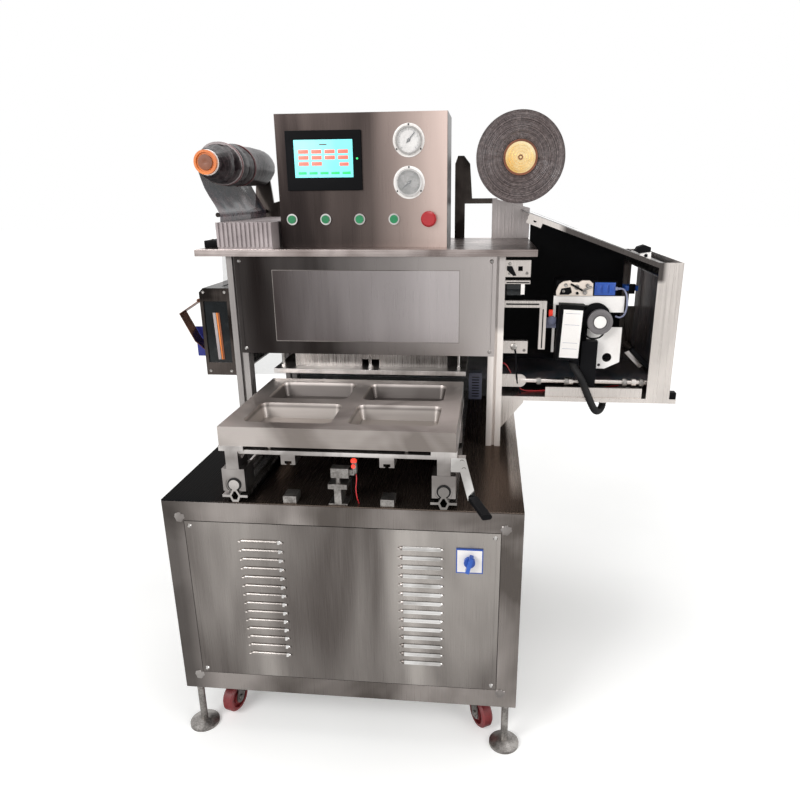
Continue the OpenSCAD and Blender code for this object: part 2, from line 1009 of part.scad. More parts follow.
// One caster fork about its swivel axis, with the axle towards +X
module caster_fork(top) {
  translate([0, 0, crown_z1 - fork_t]) cylinder(d = swivel_d, h = top - crown_z1 + fork_t);
  translate([-swivel_d / 2 + fork_t, -fork_w / 2, crown_z1 - fork_t])
    cube([swivel_d - 2 * fork_t, fork_w, fork_t]);
  for (y = [-fork_w / 2, fork_w / 2 - fork_t]) sheet_y(y, fork_t) fork_arm();
  along_y(caster_trail, -fork_w / 2, axle_z, axle_d, fork_w);
  for (y = [-fork_w / 2 - axle_head_h, fork_w / 2])
    along_y(caster_trail, y, axle_z, axle_head_d, axle_head_h);
}

// Its children at a front caster's swivel axis, turned the way the caster trails
module front_caster(side, turn) {
  translate([side * caster_x, caster_in, 0]) rotate([0, 0, turn]) children();
}

// Its children at both rear casters, which trail towards the back
module rear_casters() {
  for (x = [-caster_x, caster_x])
    translate([x, caster_y2, 0]) rotate([0, 0, 90]) children();
}

// Swivelling fork with the hole for its kingpin
module swivel_fork() {
  difference() {
    caster_fork(plate_z0 - seat);
    translate([0, 0, crown_z1 - fork_t - over])
      cylinder(d = kingpin_d + 2 * run_fit, h = swivel_h + fork_t + 2 * over);
  }
}

// Square plate that bolts a caster under the frame
module swivel_top() {
  translate([-pad_side / 2, -pad_side / 2, plate_z0])
    cube([pad_side, pad_side, pad_t]);
}

module caster_mounts() {
  color("silver") on_floor() {
    rear_casters() {
      swivel_top();
      caster_fork(plate_z0);
    }
    for (x = [-caster_x, caster_x]) translate([x, caster_in, 0]) {
      swivel_top();
      translate([0, 0, kingpin_z]) cylinder(d = kingpin_d, h = plate_z0 - kingpin_z);
      translate([0, 0, kingpin_z - king_head_h]) cylinder(d = king_head_d, h = king_head_h);
    }
  }
}

module caster_fork_left() {
  color("silver") on_floor() front_caster(-1, fork_turn_left) swivel_fork();
}

module caster_fork_right() {
  color("silver") on_floor() front_caster(1, fork_turn_right) swivel_fork();
}

// One wheel where the fork's axle is
module wheel() {
  r = wheel_d / 2;
  w = wheel_w / 2;
  hub = r * hub_share;
  rim = r * rim_share;
  web = w * web_share;
  edge = r * tread_share;
  bore = axle_d / 2 + run_fit;
  translate([caster_trail, 0, axle_z]) rotate([90, 0, 0]) rotate_extrude() polygon([
    [bore, -w], [hub, -w], [hub, -web], [rim, -web], [rim, -w], [r - edge, -w], [r, edge - w],
    [r, w - edge], [r - edge, w], [rim, w], [rim, web], [hub, web], [hub, w], [bore, w]
  ]);
}

module wheel_front_left() {
  color("firebrick") on_floor() front_caster(-1, fork_turn_left) wheel();
}

module wheel_front_right() {
  color("firebrick") on_floor() front_caster(1, fork_turn_right) wheel();
}

module rear_wheels() {
  color("firebrick") on_floor() rear_casters() wheel();
}

// Diamond of the rail's support, with the neck that carries the shaft
module rail_diamond() {
  polygon([
    [-rail_foot_w / 2, 0], [rail_foot_w / 2, 0], [diamond_w / 2, diamond_mid], [rail_neck / 2, diamond_h],
    [-rail_neck / 2, diamond_h], [-diamond_w / 2, diamond_mid]
  ]);
}

module rails() {
  color("silver") on_floor() for (x = [-rail_x, rail_x])
    translate([x, 0, table_h]) sheet_y(rail_in, rail_l) difference() {
      union() {
        rail_diamond();
        translate([-rail_flange_w / 2, flange_rise]) square([rail_flange_w, rail_flange_t]);
        translate([0, shaft_rise]) circle(d = shaft_d);
      }
      translate([0, diamond_mid]) scale(rail_share) translate([0, -diamond_mid]) rail_diamond();
    }
}

// Stop blocks, the centre stand with its catch, and the sensor beside it
module table_stops() {
  color("silver") on_floor() {
    both_sides() span([runner_x - stop_w / 2, runner_x + stop_w / 2], [stop_in, stop_in + stop_l],
      [table_h, table_h + stop_h]);
    span([-stand_w / 2, stand_w / 2], [stop_in, stop_in + stand_l], [table_h, table_h + stand_base_t]);
    span([-stand_stem / 2, stand_stem / 2], [stop_in, stop_in + stand_l], [table_h, stand_z1]);
    span([-stand_w / 2, stand_w / 2], [stop_in, stop_in + stand_l], [stand_z1 - stand_t, stand_z1]);
    translate([0, stop_in + catch_l / 2, stand_z1 - stand_t])
      cylinder(d = catch_bolt_d, h = stand_t + catch_bolt_h + catch_h / 2);
    span([-catch_side, catch_w - catch_side], [stop_in, stop_in + catch_l], [catch_z, catch_z + catch_h]);
    span([0, sensor_x], [stop_in + catch_l / 2 - sensor_arm_t, stop_in + catch_l / 2],
      [catch_z + sensor_arm_t, catch_z + catch_h - sensor_arm_t]);
    translate([sensor_x, stop_in + catch_l / 2, stand_z1 + sensor_lift]) cylinder(d = sensor_d, h = sensor_h);
  }
}

// Cross-section of a bearing block about the shaft's axis, open below for the rail's neck
module block_profile() {
  difference() {
    translate([-block_w / 2, -block_drop]) square([block_w, block_h]);
    circle(r = shaft_r + run_fit);
    polygon([
      [-block_mouth / 2, -block_drop - over], [block_mouth / 2, -block_drop - over],
      [block_throat / 2, -throat_drop], [-block_throat / 2, -throat_drop]
    ]);
  }
}

module bearing_blocks() {
  color("silver") on_floor() for (x = [-rail_x, rail_x], y = [mould_in, block_y2])
    translate([x, 0, shaft_z]) difference() {
      sheet_y(y, block_l) block_profile();
      for (end = [y - over, y + block_l - seal_in]) along_y(0, end, 0, bearing_d, seal_in + over);
    }
}

// A T-slot whose mouth opens towards +Y at the origin
module t_slot() {
  translate([-groove / 2, -groove_deep]) square([groove, groove_deep + over]);
  translate([-groove_wide / 2, -groove_deep]) square([groove_wide, groove_deep - groove_lip]);
}

module carriage_frame() {
  color("silver") on_floor() {
    for (x = [-rail_x, rail_x]) {
      for (y = [mould_in, block_y2]) {
        span([x - post_w / 2, x + post_w / 2], [y, y + block_l], [block_z1, mould_z0]);
        sheet_y(y + bracket_in, bracket_l) polygon([
          [x + post_w / 2, cap_z0 + cap_t / 2], [x + cap_w / 2, cap_z0 + cap_t / 2],
          [x + cap_w / 2, cap_z0 - bracket_t], [x + post_w / 2, cap_z0 - bracket_leg]
        ]);
      }
      span([x - cap_w / 2, x + cap_w / 2], [mould_in, mould_y1], [cap_z0, mould_z0]);
    }
    span([-rail_x, rail_x], [mould_in + deck_in, mould_y1 - deck_in], [deck_z0, deck_z1]);
    for (x = [-runner_x, runner_x]) sheet_y(mould_in + runner_in, mould_d - 2 * runner_in)
      difference() {
        translate([x - runner_w / 2, deck_z0 - runner_h]) square([runner_w, runner_h + deck_t / 2]);
        translate([x, deck_z0 - runner_h]) mirror([0, 1]) t_slot();
      }
  }
}

// Places of the four trays about the middle of the mould or of the head
module at_dies() {
  for (x = [-step_x / 2, step_x / 2], y = [-step_y / 2, step_y / 2])
    translate([x, y, 0]) children();
}

// Space of one tray pocket below the origin
module pocket() {
  hull() for (x = [pocket_r - pocket_w / 2, pocket_w / 2 - pocket_r])
    for (y = [pocket_r - pocket_d / 2, pocket_d / 2 - pocket_r]) {
      translate([x, y, -pocket_h])
        cylinder(r1 = pocket_r - pocket_taper, r2 = pocket_r, h = pocket_h, $fn = 48);
      translate([x, y, 0]) cylinder(r = pocket_r, h = over, $fn = 48);
    }
}

module mould() {
  color("silver") on_floor() difference() {
    span([-mould_w / 2, mould_w / 2], [mould_in, mould_y1], [mould_z0, mould_z1]);
    translate([0, mould_y, mould_z1]) at_dies() pocket();
  }
}

module mould_fittings() {
  color("goldenrod") on_floor() for (x = [-fitting_x, fitting_x])
    translate([x, mould_in + fitting_in, mould_z0 - deck_gap / 2]) {
      rotate([-90, 0, 0]) cylinder(d = fitting_nut_d, h = fitting_nut_l, $fn = 6);
      along_y(0, 0, 0, fitting_d, fitting_l);
      translate([0, fitting_l, 0]) {
        sphere(d = fitting_d);
        cylinder(d = fitting_d, h = deck_gap / 2);
      }
    }
}

// Its children along the grip, which starts at the origin and runs towards -Y
module at_grip() {
  translate([bend_x, grip_y, grip_z]) rotate([0, 0, grip_yaw]) rotate([grip_pitch, 0, 0]) children();
}

// The flat bar's end inside the grip
module grip_core() {
  at_grip() translate([-core_w / 2, -grip_start - grip_l * grip_core_share, -core_t / 2])
    cube([core_w, grip_start + grip_l * grip_core_share + core_t / 2, core_t]);
}

module pull_handle() {
  color("silver") on_floor() {
    sheet_y(mould_in, handle_t) polygon([
      [handle_x - handle_w / 2, handle_z], [handle_x + handle_w / 2, handle_z],
      [bend_x + handle_w / 2, handle_z0], [bend_x - handle_w / 2, handle_z0]
    ]);
    span([rail_x + post_w / 2, handle_x + handle_w / 2], [mould_in + handle_t, mould_in + handle_t + clamp_t],
      [cap_z0 - clamp_h, cap_z0]);
    for (z = [clamp_h / 4, clamp_h * bolt_share])
      along_y(handle_x + z * tan(handle_lean), mould_in - clamp_bolt_h, cap_z0 - z, clamp_bolt_d,
        clamp_bolt_h + handle_t + clamp_t / 2);
    grip_core();
  }
}

module handle_grip() {
  color("black") on_floor() difference() {
    at_grip() sheet_y(-grip_start - grip_l, grip_l) {
      square([grip_w - grip_t, grip_t], center = true);
      for (x = [(grip_t - grip_w) / 2, (grip_w - grip_t) / 2]) translate([x, 0]) circle(d = grip_t);
    }
    grip_core();
  }
}

module uprights() {
  color("lightgray") on_floor() difference() {
    for (x = [-side_x, inner_x], y = [front_y, rear_y])
      translate([x + upright / 2, y + upright / 2, table_h]) linear_extrude(upright_h) difference() {
        square(upright, center = true);
        for (a = [0 : 90 : 270]) rotate(a) translate([0, upright / 2]) t_slot();
      }
    hood_corners() along_y(0, 0, 0, screw_d, panel_t + screw_bite + over);
  }
}

// Place of the rising film at a height
function film_x(z) = rise_from[0]
  + (rise_to[0] - rise_from[0]) * (z - rise_from[1]) / (rise_to[1] - rise_from[1]);

// Slot for the rising film in a plate, from its top and thickness
module film_gap(z, t) {
  x = film_x(z);
  span([x - film_slot / 2, x + film_slot / 2],
    [film_y - film_slot / 2, film_y + film_w + film_slot / 2], [z - t - over, z + over]);
}

module top_shelf() {
  color("silver") on_floor() difference() {
    span([-shelf_x, shelf_x], [shelf_y, shelf_y1], [shelf_z - shelf_edge, shelf_z]);
    span([shelf_t - shelf_x, shelf_x - shelf_t], [shelf_y + shelf_t, shelf_y1 - shelf_t],
      [shelf_z - shelf_edge - over, shelf_z - shelf_t]);
    film_gap(shelf_z, shelf_t);
    both_sides() span([side_x - upright - seat, side_x + seat], [shelf_y1 - shelf_t - over, shelf_y1 + over],
      [shelf_z - shelf_edge - over, shelf_z - shelf_t]);
  }
}

module ribbed_box() {
  color("gray") on_floor() {
    difference() {
      span([rib_x, rib_x + rib_box_w], [rib_y, rib_y1], [shelf_z, shelf_z + rib_box_h]);
      span([rib_x + panel_t, rib_x + rib_box_w - panel_t], [rib_y + panel_t, rib_y1 - panel_t],
        [shelf_z - over, shelf_z + rib_box_h - panel_t]);
    }
    for (i = [0 : rib_count - 1])
      span([rib_x + i * rib_pitch, rib_x + i * rib_pitch + rib_w], [rib_y - rib_proud, rib_y + panel_t / 2],
        [shelf_z + rib_low, shelf_z + rib_box_h]);
  }
}

module hood_panel() {
  color("silver") on_floor() difference() {
    span([-hood_w / 2, hood_w / 2], [front_y - panel_t, front_y], [hood_z0, hood_z1]);
    hood_corners() along_y(0, -over, 0, screw_d + 2 * screw_fit, panel_t + 2 * over);
  }
}

module smoked_covers() {
  color("black") on_floor() {
    span([-inner_x, inner_x], [back_pane_y, back_pane_y + pane_t], [table_h, table_h + upright_h]);
    span([frame_side - pull_x, -side_x - frame_side], [front_y + pull_t, front_y + pull_t + pane_t],
      [pull_z0 + band_h, pull_z1 - band_h]);
  }
}

module head_bridge() {
  color("silver") on_floor() difference() {
    union() {
      span([-inner_x, inner_x], [front_y + bridge_in, cab_d - bridge_in - upright / 2],
        [bridge_z, bridge_z + bridge_t]);
      for (x = [-inner_x, inner_x - bridge_tab_t], y = [front_y + bridge_in, rear_y])
        span([x, x + bridge_tab_t], [y, y + upright - 2 * bridge_in],
          [bridge_z + bridge_t / 2, bridge_z + bridge_t + bridge_tab]);
      at_columns() translate([0, 0, bridge_z + bridge_t / 2]) cylinder(d = bush_d, h = bridge_t / 2 + bush_h);
    }
    at_columns() translate([0, 0, bridge_z - over])
      cylinder(d = column_d + 2 * run_fit, h = bridge_t + bush_h + 2 * over);
    translate([0, head_mid_y, bridge_z - over]) cylinder(d = rod_d + 2 * run_fit, h = bridge_t + 2 * over);
  }
}

// Places of the head's guide columns
module at_columns() {
  for (x = [-column_x, 0, column_x], y = [head_y + column_in, head_y + head_d - column_in])
    translate([x, y, 0]) children();
}

module head_cylinder() {
  side = cyl_side / 2;
  color("silver") on_floor() translate([0, head_mid_y, cyl_z0]) difference() {
    union() {
      for (z = [0, cyl_h - cyl_cap])
        span([-side, side], [-side, side], [z, z + cyl_cap]);
      translate([0, 0, cyl_cap / 2]) cylinder(d = bore_d + tie_in, h = cyl_h - cyl_cap);
      for (x = [-1, 1], y = [-1, 1])
        translate([x * (side - tie_in), y * (side - tie_in), 0]) cylinder(d = tie_d, h = cyl_h);
    }
    translate([0, 0, -over]) cylinder(d = rod_d + 2 * run_fit, h = cyl_cap + 2 * over);
    translate([0, 0, cyl_cap]) cylinder(d = bore_d, h = cyl_h - 2 * cyl_cap);
  }
}

module head_columns() {
  color("silver") on_floor() {
    at_columns() {
      translate([0, 0, head_z1]) cylinder(d = column_d, h = column_z1 - head_z1);
      translate([0, 0, head_z1]) cylinder(d = col_nut_d, h = col_nut_h, $fn = 6);
      translate([0, 0, column_z1 - col_nut_h]) cylinder(d = col_nut_d, h = col_nut_h, $fn = 6);
    }
    translate([0, head_mid_y, heater_z1]) {
      cylinder(d = rod_flange_d, h = rod_flange_t);
      cylinder(d = rod_d, h = piston_z1 - heater_z1);
      translate([0, 0, piston_z1 - piston_h - heater_z1]) cylinder(d = bore_d - 2 * run_fit, h = piston_h);
    }
  }
}

module heater_blocks() {
  color("silver") on_floor() translate([0, head_mid_y, 0]) {
    at_dies()
      span([-die_w / 2, die_w / 2], [-pocket_d / 2, pocket_d / 2], [head_z1, heater_z0 + heater_t / 2]);
    span([-(step_x + die_w) / 2, (step_x + die_w) / 2],
      [-(step_y + pocket_d) / 2, (step_y + pocket_d) / 2], [heater_z0, heater_z1]);
  }
}

module film_frame() {
  color("silver") on_floor() translate([0, head_mid_y, 0]) difference() {
    span([-head_w / 2, head_w / 2], [-head_d / 2, head_d / 2], [head_z0, head_z1]);
    at_dies() span([frame_lap - die_w / 2, die_w / 2 - frame_lap],
      [frame_lap - pocket_d / 2, pocket_d / 2 - frame_lap], [head_z0 - over, head_z1 + over]);
  }
}

// Its children at the centre of one push button on the box's face
module at_button(i) {
  translate([button_x + i * button_step, box_y, button_z]) children();
}

// Its children at the emergency stop on the box's face
module at_stop() {
  translate([stop_x, box_y, button_z]) children();
}

// Its children at both gauges on the box's face
module at_gauges() {
  for (i = [0, 1]) translate([gauge_x, box_y, gauge_z + i * gauge_step]) children();
}

module control_box() {
  color("silver") on_floor() difference() {
    span([box_x, box_x + box_w], [box_y, box_y + box_d], [shelf_z, box_z1]);
    span([box_x + box_wall, box_x + box_w - box_wall], [box_y + box_wall, box_y + box_d - box_wall],
      [shelf_z + box_wall, box_z1 - box_wall]);
    span([hmi_x + hmi_lip, hmi_x + hmi_w - hmi_lip], [box_y - over, box_y + box_wall + over],
      [hmi_z + hmi_lip, hmi_z + hmi_h - hmi_lip]);
    at_gauges() along_y(0, -over, 0, gauge_back_d, box_wall + 2 * over);
    for (i = [0 : 3]) at_button(i) along_y(0, -over, 0, neck_d, box_wall + 2 * over);
    at_stop() along_y(0, -over, 0, neck_d, box_wall + 2 * over);
  }
}

module hmi_panel() {
  color("black") on_floor() difference() {
    union() {
      span([hmi_x, hmi_x + hmi_w], [box_y - hmi_t, box_y], [hmi_z, hmi_z + hmi_h]);
      span([hmi_x + hmi_lip, hmi_x + hmi_w - hmi_lip], [box_y - hmi_t / 2, box_y + hmi_back],
        [hmi_z + hmi_lip, hmi_z + hmi_h - hmi_lip]);
    }
    span([hmi_x + screen_in, hmi_x + hmi_w - screen_in], [box_y - hmi_t - over, box_y - hmi_t + screen_deep],
      [hmi_z + screen_low, hmi_z + hmi_h - screen_in]);
  }
}

module gauges() {
  color("black") on_floor() at_gauges() {
    difference() {
      union() {
        along_y(0, -flange_t, 0, gauge_d, flange_t);
        along_y(0, -gauge_rim_h, 0, gauge_rim_d, gauge_rim_h);
        along_y(0, -flange_t, 0, gauge_back_d, flange_t + gauge_back_l);
        along_y(0, gauge_back_l / 2, 0, gauge_stem_d, gauge_back_l / 2 + gauge_stem_l);
      }
      along_y(0, -gauge_rim_h - over, 0, gauge_bowl_d, gauge_bowl_h + over);
    }
    along_y(0, gauge_bowl_h - gauge_rim_h - needle_pin_l, 0, needle_pin_d, needle_pin_l + over);
  }
}

// One gauge needle about its pin, pointing up
module needle() {
  difference() {
    union() {
      along_y(0, -needle_t, 0, needle_hub_d, needle_t);
      sheet_y(-needle_t, needle_t) polygon([
        [-needle_w / 2, -needle_tail], [needle_w / 2, -needle_tail], [needle_w / 4, needle_l],
        [-needle_w / 4, needle_l]
      ]);
    }
    along_y(0, -needle_t - over, 0, needle_pin_d + 2 * run_fit, needle_t + 2 * over);
  }
}

// One needle on the lower or the upper gauge, turned to its reading
module needle_on(i, turn) {
  translate([gauge_x, box_y + gauge_bowl_h - gauge_rim_h - needle_gap, gauge_z + i * gauge_step])
    rotate([0, turn, 0]) needle();
}

module needle_upper() {
  color("black") on_floor() needle_on(1, upper_turn);
}

module needle_lower() {
  color("black") on_floor() needle_on(0, lower_turn);
}

module button_collars() {
  color("silver") on_floor() {
    for (i = [0 : 3]) at_button(i) difference() {
      union() {
        along_y(0, -collar_h, 0, collar_d, collar_h);
        along_y(0, -collar_h / 2, 0, neck_d, collar_h / 2 + neck_l);
      }
      along_y(0, -collar_h - over, 0, cap_d + 2 * button_slack, collar_h + over);
      along_y(0, -over, 0, stem_bore_d, neck_l - neck_floor + over);
    }
    at_stop() difference() {
      union() {
        along_y(0, -stop_rim_h, 0, stop_collar_d, stop_rim_h);
        along_y(0, -stop_rim_h / 2, 0, neck_d, stop_rim_h / 2 + neck_l);
      }
      along_y(0, -stop_rim_h - over, 0, stop_stem_d + 2 * button_slack,
        stop_rim_h + neck_l - neck_floor + over);
    }
  }
}

// One push button with its stem
module button() {
  rest = collar_h - button_travel - seat;
  along_y(0, -collar_h - cap_proud, 0, cap_d, cap_proud + rest);
  along_y(0, -collar_h, 0, stem_bore_d - 2 * button_slack, rest + neck_l - neck_floor);
}

module button_1() {
  color("green") on_floor() at_button(0) button();
}

module button_2() {
  color("green") on_floor() at_button(1) button();
}

module button_3() {
  color("green") on_floor() at_button(2) button();
}

module button_4() {
  color("green") on_floor() at_button(3) button();
}

module stop_button() {
  color("red") on_floor() at_stop() {
    translate([0, -stop_rim_h - button_travel - seat, 0]) rotate([90, 0, 0]) {
      cylinder(d = mushroom_d, h = mushroom_h * cap_side_share);
      translate([0, 0, mushroom_h * cap_side_share]) cylinder(d1 = mushroom_d,
        d2 = mushroom_d * cap_top_share, h = mushroom_h * (1 - cap_side_share));
    }
    along_y(0, -stop_rim_h - button_travel - mushroom_h / 2, 0, stop_stem_d,
      stop_rim_h + mushroom_h / 2 + neck_l - neck_floor - seat);
  }
}

// Rear plates that carry the rolls, in X and in Z above the shelf
module rear_plate(arm_x, arm_z) {
  polygon([[plate_x0, 0], [plate_x1, 0], [plate_x1, plate_low], [plate_x0, plate_high]]);
  polygon([
    [arm_x - plate_arm_w / 2, plate_low / 2], [arm_x + plate_arm_w / 2, plate_low / 2],
    [arm_x + plate_arm_top / 2, arm_z], [arm_x - plate_arm_top / 2, arm_z]
  ]);
  translate([mast_x0, plate_high - bar_h]) square([plate_x0 - mast_x0 + bar_h, bar_h]);
  translate([mast_x0, 0]) square([mast_w, plate_high]);
}

module roll_brackets() {
  color("dimgray") on_floor() {
    difference() {
      translate([0, 0, shelf_z]) {
        sheet_y(back_y, rear_plate_t) {
          rear_plate(roll_x, roll_rise);
          mirror([1, 0]) rear_plate(-take_x, take_rise);
          polygon([
            [mast_x0, plate_high - bar_h], [mast_x0 + ear_w, plate_high - bar_h],
            [mast_x0 + ear_w - ear_top, ear_z - ear_shoulder], [mast_x0 + ear_w / 2, ear_z],
            [mast_x0 + ear_top, ear_z], [mast_x0, ear_z - ear_shoulder]
          ]);
        }
        along_y(roll_x, back_y, roll_rise, boss_d, boss_l);
        along_y(take_x, back_y, take_rise, boss_d, boss_l);
        along_y(mast_x0 + ear_w / 2, back_y - nut_h, ear_z - ear_shoulder, ear_bolt_d, nut_h + over);
      }
      along_y(roll_x, back_y - over, roll_z, spindle_d + 2 * run_fit, boss_l + 2 * over);
      along_y(take_x, back_y - over, take_z, spindle_d + 2 * run_fit, boss_l + 2 * over);
    }
    along_y(take_bar_x, film_y - seat, take_bar_z, take_bar_d, back_y - film_y + seat + over);
  }
}

module supply_film() {
  color("gray") on_floor() translate([roll_x, roll_y, roll_z]) rotate([-90, 0, 0]) difference() {
    cylinder(d = roll_d, h = roll_l);
    translate([0, 0, -over]) cylinder(d = core_d, h = roll_l + 2 * over);
  }
}

// Spindle of a roll, from a start on the axis to its nut behind the boss
module spindle(x, y, z) {
  along_y(x, y, z, spindle_d, back_y + boss_l + spindle_tail - y);
  along_y(x, back_y + boss_l + seat, z, nut_d, nut_h);
}

module supply_shaft() {
  color("goldenrod") on_floor() {
    translate([roll_x, roll_y, roll_z]) rotate([-90, 0, 0]) {
      difference() {
        cylinder(d = core_d, h = roll_l);
        translate([0, 0, -over]) cylinder(d = core_d - 2 * core_wall, h = roll_l + 2 * over);
      }
      for (z = [0, roll_l - chuck_l]) translate([0, 0, z]) cylinder(d = core_d - core_wall, h = chuck_l);
      translate([0, 0, -chuck_proud]) cylinder(d = chuck_d, h = chuck_l);
    }
    spindle(roll_x, roll_y, roll_z);
  }
}

module scrap_film() {
  r = scrap_d / 2;
  color("gray") on_floor() translate([take_x, scrap_y, take_z]) rotate([-90, 0, 0]) rotate_extrude() polygon([
    [tube_d / 2, 0], [r * front_share, 0], [r, scrap_l * full_share],
    [r, scrap_l * rear_share], [r * front_share, scrap_l], [tube_d / 2, scrap_l]
  ]);
}

module take_up_shaft() {
  color("orange") on_floor() {
    difference() {
      union() {
        along_y(take_x, take_y, take_z, tube_d, roll_y1 - take_y);
        along_y(take_x, take_y, take_z, tube_end_d, tube_end_l);
      }
      along_y(take_x, take_y - over, take_z, tube_d - 2 * core_wall, tube_cap_in + over);
    }
    spindle(take_x, roll_y1 - over, take_z);
  }
}

// A point on a circle in X and Z, at an angle from +X towards +Z
function ring_at(c, r, a) = [c[0] + r * cos(a), c[1] + r * sin(a)];

// One side of the web where it bends round a centre: 1 on the left of its run, -1 on the right
function web_arc(c, r, a, b, side) = [for (k = [0 : web_steps])
  ring_at(c, r - side * sign(b - a) * film_t / 2, a + (b - a) * k / web_steps)];

// One side of the web from the supply roll to the wound scrap
function web_side(side) = concat(
  web_arc([roll_x, roll_z], roll_path, 270 - slope - wrap, 270 - slope, side),
  web_arc([turn_x, turn_z], turn_path, 90 - slope, 0, side),
  web_arc([bar_x, bar_z], bar_path, 0, -90, side),
  web_arc([draw_x, draw_z], draw_path, 270, rise_turn, side),
  web_arc([take_bar_x, take_bar_z], guide_path, rise_turn + 180, wind_turn + 180, side),
  web_arc([take_x, take_z], take_path, wind_turn, wind_turn - wrap, side)
);

module film_web() {
  right = web_side(-1);
  color("lightblue") on_floor() sheet_y(film_y, film_w)
    polygon(concat(web_side(1), [for (i = [len(right) - 1 : -1 : 0]) right[i]]));
}

// A bar on an upright's outer side, given by its reach and its height
module side_bar(reach, z0, z1) {
  span([side_x, side_x + reach], [guide_y - side_bar_w / 2, guide_y + side_bar_w / 2], [z0, z1]);
}

// Brackets on the right front upright: the film sensor's angle, two clips and the rod's link plate
module side_brackets() {
  side_bar(sensor_reach, beam_z, beam_z + beam_h);
  translate([sensor_reach - beam_h, 0, 0]) side_bar(beam_h, beam_z - sensor_drop, beam_z + beam_h / 2);
  difference() {
    side_bar(clip_reach, clip_z, clip_z + clip_h);
    span([side_x + clip_reach / 2, side_x + clip_reach / 2 + clip_hole],
      [guide_y - side_bar_w, guide_y + side_bar_w],
      [clip_z + (clip_h - clip_hole) / 2, clip_z + (clip_h + clip_hole) / 2]);
  }
  side_bar(clip_reach, clip_z - clip_gap - beam_h / 2, clip_z - clip_gap);
  side_bar(clip_reach, low_clip_z, low_clip_z + low_clip_h);
  sheet_y(guide_y - link_t / 2, link_t) {
    translate([side_x, guide_z - link_h / 2]) square([link_w - link_h / 2, link_h]);
    translate([side_x + link_w - link_h / 2, guide_z]) circle(d = link_h);
  }
  for (x = [link_h / 4, link_w - link_h / 2])
    along_y(side_x + x, guide_y - link_t / 2 - clamp_bolt_h, guide_z, clamp_bolt_d, clamp_bolt_h + over);
  along_x(side_x + link_w / 2, guide_y, guide_z, guide_d, end_x1 - end_t / 2 - side_x - link_w / 2);
  for (share = collar_shares)
    along_x(side_x + link_w + share * (end_x1 - side_x - link_w), guide_y, guide_z, ring_d,
      ring_l);
}

// The wing's sloping cover sheet with its folded front edge, and the lug at its upper end
module wing_cover() {
  translate([cover_x0, 0, cover_z0]) rotate([0, slope, 0]) {
    span([0, cover_l], [front_y, back_y], [-cover_t, 0]);
    span([0, cover_l], [front_y, front_y + cover_t], [-cover_edge, -cover_t / 2]);
    difference() {
      span([0, lug_l], [front_y, front_y + cover_edge], [-lug_h, -cover_t / 2]);
      along_y(lug_l / 2, front_y - over, -lug_h / 2, lug_hole_d, cover_edge + 2 * over);
    }
  }
}

// The C-shaped channel that closes the wing's far end
module end_channel() {
  difference() {
    union() {
      span([end_x1 - end_t, end_x1], [front_y, rear_y], [wing_z1, end_z1]);
      for (y = [front_y, rear_y - end_t])
        span([end_x0, end_x1], [y, y + end_t], [wing_z1, end_z1]);
    }
    span([end_x0 + slot_in, end_x0 + slot_in + slot_w], [rear_y - end_t - over, rear_y + over],
      [end_z1 - slot_low - slot_h, end_z1 - slot_low]);
  }
  along_y(turn_x, front_y + end_t / 2, turn_z, journal_d, rear_y - front_y - end_t);
  along_y(bar_x, front_y + end_t / 2, bar_z, bar_d, rear_y - front_y - end_t);
}

module wing_frame() {
  color("silver") on_floor() {
    span([side_x, wing_x], [front_y, cab_d - upright / 2], [wing_z0, wing_z1]);
    for (y = [front_y + seat, rear_y]) sheet_y(y, gusset_t)
      polygon([[side_x, wing_z0 - gusset_h], [side_x, wing_z0 + wing_t / 2],
        [side_x + gusset_w, wing_z0 + wing_t / 2], [side_x + gusset_w, wing_z0 - gusset_t]]);
    end_channel();
    wing_cover();
    side_brackets();
    span([duct_x0, duct_x0 + duct_l], [front_y + duct_in, front_y + duct_in + duct_t],
      [wing_z1 - wing_t / 2, wing_z1 + duct_h]);
    translate([hose_end_x, hose_end_y, wing_z0 - gland_h]) difference() {
      cylinder(d = gland_d, h = gland_h + wing_t / 2, $fn = 6);
      translate([0, 0, -over]) cylinder(d = hose_d + 2 * screw_fit, h = gland_h + over);
    }
  }
}

module wing_back() {
  color("black") on_floor() sheet_y(rear_y - end_t - back_t, back_t) polygon([
    [side_x, wing_z1], [end_x0, wing_z1], [end_x0, end_z1 - cover_t / cos(slope)],
    [back_x0, cover_z0 - (back_x0 - cover_x0) * tan(slope) - cover_t / cos(slope)],
    [back_x0, shelf_z - shelf_edge - seat], [side_x, shelf_z - shelf_edge - seat]
  ]);
}

module turn_roller() {
  color("silver") on_floor() difference() {
    along_y(turn_x, front_y + end_t + journal_clear, turn_z, turn_d,
      rear_y - front_y - 2 * end_t - 2 * journal_clear);
    along_y(turn_x, front_y, turn_z, journal_d + 2 * run_fit, rear_y - front_y);
  }
}

